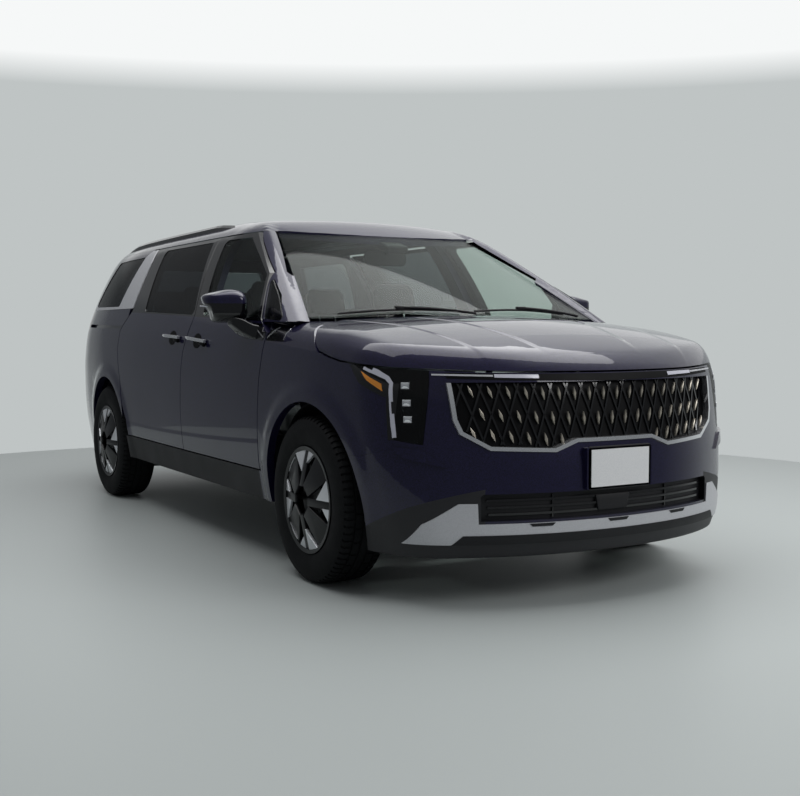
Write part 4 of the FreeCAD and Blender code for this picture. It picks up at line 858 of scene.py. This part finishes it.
def front_pieces():
    fit(band("light_strip_cover", [(-0.70, 0.932), (-0.45, 0.925), (0.0, 0.920), (0.45, 0.925), (0.70, 0.932)],
             [0.022, 0.026, 0.030, 0.026, 0.022], "front_bumper", "x", 0.0012, 0.003),
        "body", SHADE_DARKENED_BLACK)
    both_sides(band("light_strip", [(-0.525, 0.9300), (-0.345, 0.9265)], [0.013, 0.015], "front_bumper", "x",
                    0.0028, 0.003), "body", LIGHT_GUIDE)
    both_sides(band("light_strip_end", [(-0.75, 0.936), (-0.53, 0.9305)], [0.006, 0.007], "front_bumper", "x",
                    0.0028, 0.003), "body", SILVER)
    upper = moulding("headlamp_housing", [(1.985, 0.992), (2.075, 0.900), (2.20, 0.846), (2.242, 0.884)],
                     "wings headlamps", "y", 0.0008, 0.0024)
    lower = moulding("housing_front", [(2.20, 0.90), (2.2065, 0.834), (2.213, 0.676), (2.242, 0.676),
                                       (2.242, 0.90)], "wings headlamps", "y", 0.0008, 0.0024)
    both_sides(joined("headlamp_housing", [upper, lower]), "body", GLOSS_BLACK)
    both_sides(band("running_light", [(2.005, 0.992), (2.075, 0.9725), (2.157, 0.9435), (2.200, 0.922),
                                      (2.217, 0.900), (2.228, 0.804), (2.243, 0.686)],
                    [0.010, 0.024, 0.022, 0.016, 0.0125, 0.0125, 0.014], "headlamps wings", "y", 0.0022, 0.003),
               "body", LIGHT_GUIDE)
    both_sides(moulding("side_marker", [(2.082, 0.9475), (2.1836, 0.8990), (2.192, 0.8690), (2.1183, 0.9120)],
                        "wings headlamps", "y", 0.0024, 0.003), "body", AMBER)
    skin = surface_tree("headlamps")
    modules = []
    for z in LAMP_MODULE_HEIGHTS:
        at, normal = struck(skin, "x", (3.0, LAMP_MODULE_Y, z))
        if at is None:
            continue
        bezel = box("bezel", (0.006, 0.034, 0.026))
        inset(bezel, lambda p, n: n.x > 0.9, (0.003, -0.003), (0.005, 0.0035))
        bevelled(bezel, 0.0015, 2)
        facing = Matrix.Rotation(math.atan2(normal.y, normal.x), 4, "Z")
        bezel.data.transform(Matrix.Translation(at + normal * 0.001) @ facing)
        modules.append(bezel)
    both_sides(joined("lamp_modules", modules), "body", CHROME)
    both_sides(moulding("lamp_lip", [(2.238, 0.652), (2.330, 0.640), (2.386, 0.571), (2.275, 0.612)],
                        "front_bumper wings", "y", 0.006, 0.014), "body", PAINT)

    slats = [band("slat", [(-0.57 + k * 0.004, z), (0.0, z + 0.001), (0.57 - k * 0.004, z)], [0.009] * 3,
                  "lower_grille", "x", 0.005, 0.010) for k, z in enumerate(SLAT_HEIGHTS)]
    slats += [band("post", [(y, 0.362), (y, 0.455)], [0.006, 0.006], "lower_grille", "x", 0.004, 0.008)
              for y in POST_PLACES]
    fit(joined("intake_slats", slats), "body", GLOSS_BLACK)
    sensor = moulding("distance_sensor", [(-0.104, 0.440), (0.075, 0.440), (0.060, 0.376), (-0.090, 0.376)],
                      "lower_grille", "x", 0.008, 0.014)
    fit(bevelled(sensor, 0.003, 2), "body", BLACK_PLASTIC)
    fit(moulding("skid_lower_cover", [(-0.705, 0.2625), (-0.668, 0.300), (0.668, 0.300), (0.705, 0.2625)],
                 "skid_trim", "x", 0.001, 0.003, 0.01), "body", BLACK_PLASTIC)
    notches = [moulding("notch", [(y - 0.055, 0.343), (y - 0.043, 0.331), (y + 0.043, 0.331), (y + 0.055, 0.343)],
                        "skid_trim", "x", 0.001, 0.003, 0.006) for y in NOTCH_PLACES]
    fit(joined("skid_notches", notches), "body", BLACK_PLASTIC)

    plate_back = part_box("front_plate")[0].x - 0.0005
    surround = plate("plate_backing", rounded_outline(-0.166, 0.466, 0.166, 0.640, 0.014), 0.010, 0.002)
    surround.data.transform(shifted(plate_back, 0.0, 0.0) @ turned(90.0, "Z"))
    fit(surround, "body", BLACK_PLASTIC)


# Wheels

WEDGE_OUTER = 0.2205
WEDGE_Y = 0.1045
WEDGE_TILT = 12.0
WEDGE_HALF = 0.01749
BAR_HALF = 0.0165
BLADE_INNER = 0.068
BLADE_MIDDLE = 42.0
QUARTERS = (0, 90, 180, 270)


def polar(radius, degrees):
    """A place on the wheel's face: degrees clockwise from the top, seen from the right-hand side."""
    angle = math.radians(degrees)
    return (radius * math.sin(angle), radius * math.cos(angle))


def arc(radius, start, end, parts):
    """Places along an arc, from one angle to another."""
    return [polar(radius, start + k * (end - start) / parts) for k in range(parts + 1)]


def tilted(piece, outward_y):
    """Tilts a plate so that its outer end stands at the rim and its inner end at the hub face."""
    piece.data.transform(shifted(0.0, -outward_y, WEDGE_OUTER) @ turned(-WEDGE_TILT, "X")
                         @ shifted(0.0, 0.0, -WEDGE_OUTER))
    return piece


def four_of(piece):
    """Copies of a wheel piece turned clockwise about the axle, which take its place."""
    pieces = [copied(piece, piece.name, turned(angle, "Y")) for angle in QUARTERS]
    bpy.data.objects.remove(piece)
    return pieces


def wheel_face():
    """Machined wedges and thin arcs on black bars, for a right-hand wheel at the origin."""
    side = math.degrees(math.asin(WEDGE_HALF / WEDGE_OUTER))
    wedges = [plate("wedge", [(-WEDGE_HALF, 0.126)] + arc(WEDGE_OUTER, -side, -28.5, 6), 0.012, 0.0008),
              plate("wedge", [(WEDGE_HALF, 0.166)] + arc(WEDGE_OUTER, side, 18.5, 4), 0.012, 0.0008)]
    wedges = four_of(tilted(joined("wedges", wedges), WEDGE_Y))
    rim_arc = plate("arc", arc(0.2190, 29.0, 55.0, 8) + arc(0.2155, 55.0, 29.0, 8), 0.006, 0.0005)
    rim_arc.data.transform(shifted(0.0, -WEDGE_Y - 0.0008, 0.0))
    bright = joined("machined_faces", wedges + four_of(rim_arc))

    bar = plate("bar", [(-BAR_HALF, 0.060), (-BAR_HALF, WEDGE_OUTER), (BAR_HALF, WEDGE_OUTER), (BAR_HALF, 0.060)],
                0.016, 0.001)
    bars = four_of(tilted(bar, WEDGE_Y - 0.0035))
    blade = plate("blade", [polar(BLADE_INNER, 15.0)] + arc(WEDGE_OUTER, 24.0, 60.0, 8)
                  + [polar(BLADE_INNER, 69.0)], 0.014, 0.002)
    blade.data.transform(turned(-BLADE_MIDDLE, "Y"))
    tilted(blade, WEDGE_Y - 0.003)
    blade.data.transform(turned(BLADE_MIDDLE, "Y"))
    return bright, joined("wheel_blades", bars + four_of(blade))


TREAD_STEPS = 216
TREAD_DEPTH = 0.005
# (radius, half width) from the bead over the sidewall and the grooves to the middle, and back inside
TYRE_SECTION = (
    (0.2365, 0.0985), (0.2400, 0.1060), (0.2480, 0.1095), (0.2700, 0.1150), (0.2950, 0.1172), (0.3200, 0.1160),
    (0.3400, 0.1110), (0.3530, 0.1040), (0.3610, 0.0960), (0.3650, 0.0880), (0.3672, 0.0640), (0.3600, 0.0620),
    (0.3600, 0.0560), (0.3676, 0.0540), (0.3680, 0.0260), (0.3605, 0.0240), (0.3605, 0.0170), (0.3680, 0.0150),
)
TYRE_INSIDE = ((0.2360, -0.0960), (0.2500, -0.0940), (0.3450, -0.0960))


def mirrored_section(section):
    return [(radius, -y) for radius, y in reversed(section)]


def tyre_with_tread():
    """A spun tyre with four grooves and blocks on its shoulders, at the origin."""
    section = [*TYRE_SECTION, *mirrored_section(TYRE_SECTION), *TYRE_INSIDE, *mirrored_section(TYRE_INSIDE)]
    tyre = primitive("tyre", bpy.ops.mesh.primitive_circle_add, vertices=len(section), radius=1.0)
    for vertex, (radius, y) in zip(tyre.data.vertices, section):
        vertex.co = (0.0, y, radius)
    start_edit(tyre)
    bpy.ops.mesh.select_all(action="SELECT")
    bpy.ops.mesh.spin(steps=TREAD_STEPS, angle=math.radians(360.0), center=(0, 0, 0), axis=(0, 1, 0))
    end_edit()
    outward(tyre)
    part = 360.0 / TREAD_STEPS

    def gap(at, normal):
        """True in the gaps between the blocks of the shoulders and in the cuts across the ribs."""
        radius = math.hypot(at.x, at.z)
        turn = int(round((math.degrees(math.atan2(at.x, at.z)) % 360.0) / part - 0.5))
        shoulder = radius > 0.3555 and 0.0645 < abs(at.y) < 0.103
        rib = radius > 0.3655 and 0.027 < abs(at.y) < 0.053
        return (shoulder and turn % 3 == 0) or (rib and turn % 6 == 1)

    start_edit(tyre)
    choose(tyre, "FACE", gap)
    bpy.ops.mesh.extrude_region_shrink_fatten(TRANSFORM_OT_shrink_fatten={"value": -TREAD_DEPTH})
    end_edit()
    return tyre


def brake_disc():
    """A ventilated disc with its bell, at the origin, outboard towards -Y."""
    disc = primitive("brake_disc", bpy.ops.mesh.primitive_cylinder_add, vertices=72, radius=0.150, depth=0.024,
                     rotation=(math.radians(90.0), 0.0, 0.0), location=(0.0, -0.012, 0.0))
    inset(disc, lambda p, n: n.y < -0.9, (0.055, 0.0), (0.006, 0.020))
    return bevelled(disc, 0.0015, 2)


def wheels():
    bright, dark = wheel_face()
    tyre = tyre_with_tread()
    disc = brake_disc()
    for end, side_name, axle_x, side_sign in WHEELS:
        centre = shifted(axle_x, side_sign * WHEEL_Y, TYRE_RADIUS)
        if side_sign > 0:
            centre = centre @ MIRROR
        name = "%s_%s" % (end, side_name)
        body = "wheel_" + name
        fit(copied(bright, "machined_faces_" + name, centre), body, MACHINED)
        fit(copied(dark, "wheel_blades_" + name, centre), body, WHEEL_BLACK)
        fit(copied(disc, "brake_disc_" + name, centre), body, IRON)
        rubber_tyre = fit(copied(tyre, "treaded_tyre_" + name, centre), body, RUBBER, 28.0)
        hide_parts("tyre_" + name)
    for piece in (bright, dark, tyre, disc):
        bpy.data.objects.remove(piece)


# Seats: padded cushions on black bases

# (node, places of the front edge's middle as x, y and the seat's width)
SEAT_ROWS = (
    ("seats_front", ((0.70, -0.40, 0.54), (0.70, 0.40, 0.54))),
    ("seats_middle", ((-0.33, -0.445, 0.50), (-0.33, 0.0, 0.38), (-0.33, 0.445, 0.50))),
    ("seats_rear", ((-1.29, -0.33, 0.62), (-1.29, 0.33, 0.62))),
)
SEAT_WIDTH = 0.5
SEAT_VOXEL = 0.012
SEAT_SWELL = 0.022
SEAT_PRESSURE = 4.0
SEAT_FRAMES = 20
BACK_LEAN = 18.0


def stuffed(piece):
    """Swells a cushion with cloth under pressure, as foam under a tight cover, and smooths it."""
    modify(piece, "REMESH", mode="VOXEL", voxel_size=SEAT_VOXEL)
    rest = [vertex.co.copy() for vertex in piece.data.vertices]
    activate(piece)
    cover = piece.modifiers.new("cover", "CLOTH")
    cover.settings.use_pressure = True
    cover.settings.uniform_pressure_force = SEAT_PRESSURE
    cover.settings.effector_weights.gravity = 0.0
    cover.point_cache.frame_start = 1
    cover.point_cache.frame_end = SEAT_FRAMES
    for step in range(1, SEAT_FRAMES + 1):
        bpy.context.scene.frame_set(step)
    bpy.ops.object.modifier_apply(modifier="cover")
    bpy.context.scene.frame_set(1)
    for vertex, start in zip(piece.data.vertices, rest):
        move = vertex.co - start
        if move.length > SEAT_SWELL:
            vertex.co = start + move.normalized() * SEAT_SWELL
    return piece


def sewn(piece, lines, depth=0.006, reach=0.012):
    """Presses sewn channels into a cushion along planes given as (axis, place)."""
    for vertex in piece.data.vertices:
        for axis, at in lines:
            away = abs(vertex.co[axis] - at)
            if away < reach:
                vertex.co -= vertex.normal * depth * (1.0 - away / reach) ** 2
    return piece


def pad(name, size, centre, cuts, steps, bevel, seams=()):
    """A padded form: a shaped box, stuffed, sewn and smoothed."""
    piece = bevelled(shaped(box(name, size, centre), cuts, steps), bevel, 3, 60.0)
    return modify(sewn(stuffed(piece), seams), "SUBSURF", levels=1, render_levels=1)


def seat_forms():
    """One seat 0.5 m wide with its front edge at the origin: cushion, back and head restraint."""
    cushion = pad("cushion", (0.47, 0.45, 0.10), (-0.26, 0.0, 0.615), 5, (
        ("FACE", lambda p, n: n.z > 0.9 and abs(p.y) > 0.15, (0.0, 0.0, 0.022)),
        ("FACE", lambda p, n: n.x > 0.9 and p.z > 0.60, (-0.012, 0.0, -0.008)),
    ), 0.03, ((1, -0.135), (1, 0.135), (0, -0.14)))
    back = pad("backrest", (0.10, 0.45, 0.56), (0.0, 0.0, 0.30), 5, (
        ("FACE", lambda p, n: n.x > 0.9 and abs(p.y) > 0.15 and p.z < 0.46, (0.022, 0.0, 0.0)),
        ("VERT", lambda p, n: p.z > 0.45, (0.92, 0.84, 1.0), (0.0, 0.0, 0.5)),
    ), 0.03, ((1, -0.135), (1, 0.135), (2, 0.16), (2, 0.43)))
    head = pad("head_restraint", (0.085, 0.27, 0.185), (0.012, 0.0, 0.735), 3, (
        ("VERT", lambda p, n: p.z > 0.80, (0.8, 0.86, 1.0), (0.0, 0.0, 0.80)),
    ), 0.02)
    posts = joined("posts", [rod("post", [(0.0, y, 0.56), (0.004, y, 0.62), (0.008, y, 0.68)], 0.006)
                             for y in (-0.06, 0.06)])
    return cushion, back, head, posts


def seat_base(name, width):
    """The pedestal below the pads, with a panel recessed into each side."""
    base = shaped(box(name, (0.42, width * 0.72, 0.165), (-0.27, 0.0, 0.4725)), 0, (
        ("FACE", lambda p, n: n.z > 0.9, (1.08, 1.14, 1.0), (-0.27, 0.0, 0.555)),))
    inset(base, lambda p, n: abs(n.y) > 0.7, (0.022, -0.008))
    return bevelled(base, 0.008)


def seats():
    """Each place has three pads of foam under cloth, two posts and a base."""
    cushion, back, head, posts = seat_forms()
    for node, places in SEAT_ROWS:
        for number, (x, y, width) in enumerate(places, 1):
            wide = Matrix.Diagonal((1.0, width / SEAT_WIDTH, 1.0, 1.0))
            here = shifted(x, y, 0.0)
            hinge = here @ shifted(-0.48, 0.0, 0.60) @ turned(-BACK_LEAN, "Y")
            label = "%s_%d" % (node, number)
            seat = fit(copied(cushion, label + "_cushion", here @ wide), "body", CLOTH, 60.0)
            if number == 1:
                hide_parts(node)
            rest = fit(copied(back, label + "_back", hinge @ wide), "body", CLOTH, 60.0)
            top = fit(copied(head, label + "_head", hinge), "body", CLOTH, 60.0)
            fit(copied(posts, label + "_posts", hinge), "body", CHROME)
            under = seat_base(label + "_base", width)
            under.data.transform(here)
            fit(under, "body", BLACK_PLASTIC)
    for piece in (cushion, back, head, posts):
        bpy.data.objects.remove(piece)


# Cabin pieces that show through the glass

INTERIOR_MIRROR_PLACE = (0.60, 0.0, 1.505)
SHROUD_PLACE = Vector((0.68, 0.0, 1.565))


def cabin():
    """The interior mirror on its arm and the camera's shroud at the top of the windscreen."""
    arm = rod("mirror_arm", [(0.66, 0.0, 1.585), (0.64, 0.0, 1.56), (0.615, 0.0, 1.53)], 0.009)
    glass = plate("interior_mirror", rounded_outline(-0.125, -0.034, 0.125, 0.034, 0.024), 0.022, 0.006)
    glass.data.transform(shifted(*INTERIOR_MIRROR_PLACE) @ turned(-90.0, "Z"))
    shroud = box("camera_shroud", (0.16, 0.13, 0.045), SHROUD_PLACE)
    shroud.data.transform(shifted(*SHROUD_PLACE) @ turned(16.0, "Y") @ shifted(*-SHROUD_PLACE))
    fit(joined("mirror_and_shroud", [arm, glass, bevelled(shroud, 0.012)]), "body", BLACK_PLASTIC)


# Windscreen wipers

WIPER_SPANS = ((-0.71, -0.13), (-0.05, 0.55))


def wipers():
    """Two blades at rest along the foot of the windscreen, each on a slim arm from under the bonnet."""
    skin = surface_tree("windscreen")
    made = []
    for y_start, y_end in WIPER_SPANS:
        line = []
        for k in range(9):
            y = y_start + (y_end - y_start) * k / 8.0
            at, normal = struck(skin, "z", (1.572 - 0.30 * y * y - 0.022 * math.sin(math.pi * k / 8.0), y, 2.0))
            if at is not None:
                line.append(at + normal * 0.010)
        made.append(rod("blade", line, 0.0055))
        middle = line[4] + Vector((0.0, 0.0, 0.010))
        pivot = line[-1] + Vector((0.045, 0.06, -0.010))
        made.append(rod("arm", [pivot, (pivot + middle) / 2 + Vector((0.010, 0.0, 0.012)), middle], 0.0065))
        made.append(bevelled(box("clip", (0.022, 0.05, 0.014), middle), 0.004, 2))
    fit(joined("wipers", made), "body", BLACK_PLASTIC)


# Sides: handles, mirrors, corner panels

BOWL_HALF_LENGTH = 0.058
BOWL_HALF_HEIGHT = 0.040


def handle(name, x_low, x_high, z_low_end, z_high_end, node, body):
    """A slim chrome pull with a round finger bowl behind it, drawn as a flat black sheet of painted shade, and a
    dark lock end, on a right-hand door.
    """
    x = (x_low + x_high) / 2.0
    z = (z_low_end + z_high_end) / 2.0
    length = x_high - x_low
    bowl = [(x + BOWL_HALF_LENGTH * math.cos(math.radians(angle)),
             z - 0.004 + BOWL_HALF_HEIGHT * math.sin(math.radians(angle))) for angle in range(0, 360, 15)]
    # The finger bowl is a flat dark sheet laid on the door: painted shade of the recess.
    both_sides(moulding(name + "_bowl_painted_shade", bowl, node, "y", 0.0008, 0.002, 0.01), body, SHADE_DARKENED_BLACK)
    at, normal = struck(surface_tree(node), "y", (x, -1.4, z))
    here = (shifted(x, at.y - 0.016, z) @ Matrix.Rotation(-math.atan2(z_high_end - z_low_end, length), 4, "Y")
            @ Matrix.Rotation(-math.atan2(normal.z, -normal.y), 4, "X"))
    pull = shaped(box(name, (length, 0.016, 0.017), (0.0, 0.0, 0.004)), 5, (
        ("VERT", lambda p, n: p.x < -0.40 * length, (1.0, 0.6, 0.55), (0.0, 0.006, 0.008)),
        ("VERT", lambda p, n: abs(p.x) < 0.2 * length, (0.0, -0.004, 0.0))))
    bevelled(pull, 0.004).data.transform(here)
    both_sides(pull, body, CHROME)
    lock = shaped(box(name + "_lock", (0.30 * length, 0.017, 0.024), (0.35 * length, 0.001, -0.014)), 0, (
        ("VERT", lambda p, n: p.x < 0.3 * length and p.z < -0.01, (0.016, 0.0, 0.008)),))
    bevelled(lock, 0.005).data.transform(here)
    both_sides(lock, body, SHADE_DARKENED_BLACK)


MIRROR_TURN = shifted(0.925, -1.062, 1.228) @ turned(-14.0, "Z")
MIRROR_FOOT_PLACE = (1.020, -0.985, 1.105)


def mirror():
    """A rounded mirror head with a pointed outer top on its foot, with glass and an indicator strip."""
    head = shaped(box("mirror_head", (0.150, 0.212, 0.164)), 3, (
        ("VERT", lambda p, n: p.x > 0.06, (1.0, 0.74, 0.66), (0.0, 0.012, 0.012)),
        ("VERT", lambda p, n: 0.02 < p.x < 0.06, (1.0, 0.94, 0.92), (0.0, 0.008, 0.004)),
        ("VERT", lambda p, n: p.y < -0.09 and p.z < -0.02, (0.0, 0.030, 0.012)),
        ("VERT", lambda p, n: p.y < -0.04 and p.z > 0.06, (-0.004, 0.0, -0.014)),
        ("VERT", lambda p, n: p.y < -0.09 and p.z > 0.02, (-0.012, -0.010, -0.012)),
        ("VERT", lambda p, n: p.y > 0.09 and p.z < -0.05, (0.0, -0.012, 0.010)),
        ("VERT", lambda p, n: p.y > 0.06 and p.z > 0.04, (0.0, -0.014, -0.014))))
    inset(head, lambda p, n: n.x < -0.9, (0.012, -0.006))
    modify(head, "SUBSURF", levels=2, render_levels=2).data.transform(MIRROR_TURN)
    foot = shaped(box("mirror_foot", (0.10, 0.15, 0.07)), 3, (
        ("VERT", lambda p, n: p.y < -0.07, (0.6, 1.0, 0.6), (0.0, 0.0, 0.0)),
        ("VERT", lambda p, n: p.y < -0.07, (-0.060, 0.0, 0.052)),
        ("VERT", lambda p, n: -0.07 < p.y < -0.02, (-0.036, 0.0, 0.026)),
        ("VERT", lambda p, n: p.y > 0.03, (0.030, 0.0, -0.010))))
    bevelled(foot, 0.012).data.transform(shifted(*MIRROR_FOOT_PLACE))
    shell = joined("mirror_shell", [head, foot])
    right, left = both_sides(shell, "front_door_%s", MIRROR_PAINT, 60.0)
    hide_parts("mirror_right")
    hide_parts("mirror_left")
    glass = plate("mirror_glass", rounded_outline(-0.076, -0.048, 0.080, 0.052, 0.034), 0.004, 0.001)
    glass.data.transform(MIRROR_TURN @ shifted(-0.0685, 0.004, 0.004) @ turned(-90.0, "Z"))
    both_sides(glass, "front_door_%s", MIRROR_GLASS)
    line = ((-0.058, -0.117, 0.000), (-0.020, -0.110, -0.002), (0.025, -0.096, -0.003), (0.052, -0.070, -0.004))
    both_sides(rod("mirror_indicator", [MIRROR_TURN @ Vector(at) for at in line], 0.0035),
               "front_door_%s", CLEAR_ACRYLIC)


def side_pieces():
    handle("front_handle", 0.148, 0.445, 1.066, 1.048, "front_door_right", "front_door_%s")
    handle("sliding_handle", -0.245, 0.030, 1.076, 1.066, "sliding_doors", "body")
    mirror()
    both_sides(moulding("corner_panel_door", [(0.994, 1.146), (1.180, 1.139), (1.184, 1.062), (1.085, 1.066)],
                        "front_door_right", "y", 0.0008, 0.0022), "front_door_%s", GLOSS_BLACK)
    both_sides(moulding("corner_panel_wing", [(1.200, 1.138), (1.374, 1.131), (1.388, 1.060), (1.198, 1.062)],
                        "wings", "y", 0.0008, 0.0022), "body", GLOSS_BLACK)
    both_sides(band("corner_trim_door", [(0.975, 1.150), (1.080, 1.112), (1.165, 1.078)], [0.004, 0.005, 0.004],
                    "front_door_right", "y", 0.0024, 0.003), "front_door_%s", CHROME)
    rise = band("corner_trim_wing", [(1.205, 1.076), (1.262, 1.126)], [0.004, 0.004], "wings", "y", 0.0024, 0.003)
    end = band("trim_end", [(1.383, 1.066), (1.376, 1.118)], [0.005, 0.004], "wings", "y", 0.0024, 0.003)
    both_sides(joined("corner_trim_wing", [rise, end]), "body", CHROME)


# Tail

REAR_PLATE_Z = 0.875
REAR_BLADE_PLACES = (-0.30, -0.15, 0.0, 0.15, 0.30)


def right_hand(piece):
    """Brings a piece that was laid on the left half to the right-hand side."""
    piece.data.transform(MIRROR)
    piece.data.flip_normals()
    return piece


def rear_pieces():
    """Plate recess, handle strip, wiper and lamps of the tail, which the photograph doesn't show."""
    fit(moulding("rear_plate_recess", rounded_outline(-0.20, 0.79, 0.20, 0.975, 0.02), "tailgate", "-x", 0.0008,
                 0.0022), "tailgate", BLACK_PLASTIC)
    at, normal = struck(surface_tree("tailgate"), "-x", (-3.2, 0.0, REAR_PLATE_Z))
    sheet = plate("rear_plate", rounded_outline(-0.1525, -0.076, 0.1525, 0.076, 0.012), 0.003, 0.0008)
    lean = Matrix.Rotation(math.atan2(normal.z, -normal.x), 4, "Y")
    sheet.data.transform(shifted(at.x - 0.006, 0.0, REAR_PLATE_Z) @ lean @ turned(-90.0, "Z"))
    fit(sheet, "tailgate", PLATE_WHITE)
    strip = band("tailgate_strip", [(-0.42, 1.003), (0.0, 1.006), (0.42, 1.003)], [0.020, 0.026, 0.020],
                 "tailgate", "-x", 0.004, 0.010)
    fit(bevelled(strip, 0.002, 2), "tailgate", CHROME)
    blade = rod("rear_blade", [
        surface_point("rear_glass", "-x", (-3.2, y, 1.290 + 0.02 * math.sin(math.pi * (y + 0.3) / 0.6)), 0.010)
        for y in REAR_BLADE_PLACES], 0.006)
    arm = rod("rear_arm", [surface_point("tailgate", "-x", (-3.2, 0.0, 1.236), 0.012),
                           surface_point("rear_glass", "-x", (-3.2, 0.03, 1.272), 0.022),
                           surface_point("rear_glass", "-x", (-3.2, 0.10, 1.306), 0.018)], 0.008)
    fit(joined("rear_wiper", [blade, arm]), "tailgate", BLACK_PLASTIC)
    fit(band("high_brake_lamp", [(-0.16, 1.640), (0.16, 1.640)], [0.014, 0.014], "tailgate", "-x", 0.001, 0.004),
        "tailgate", RED_LENS)
    lamp = band("tail_lamp_guide", [(0.80, 1.206), (0.85, 1.207), (0.885, 1.208)], [0.012, 0.014, 0.012],
                "tail_lamps", "-x", 0.001, 0.003)
    both_sides(right_hand(lamp), "body", CLEAR_ACRYLIC)
    reflector = band("rear_reflector", [(0.60, 0.452), (0.76, 0.455)], [0.022, 0.018], "rear_bumper", "-x",
                     0.001, 0.004)
    both_sides(right_hand(reflector), "body", RED_LENS)
    fit(moulding("rear_valance", [(-0.70, 0.40), (0.70, 0.40), (0.62, 0.262), (-0.62, 0.262)], "rear_bumper",
                 "-x", 0.0010, 0.003), "body", BLACK_PLASTIC)


grille_pieces()
front_pieces()
wheels()
seats()
cabin()
wipers()
side_pieces()
rear_pieces()
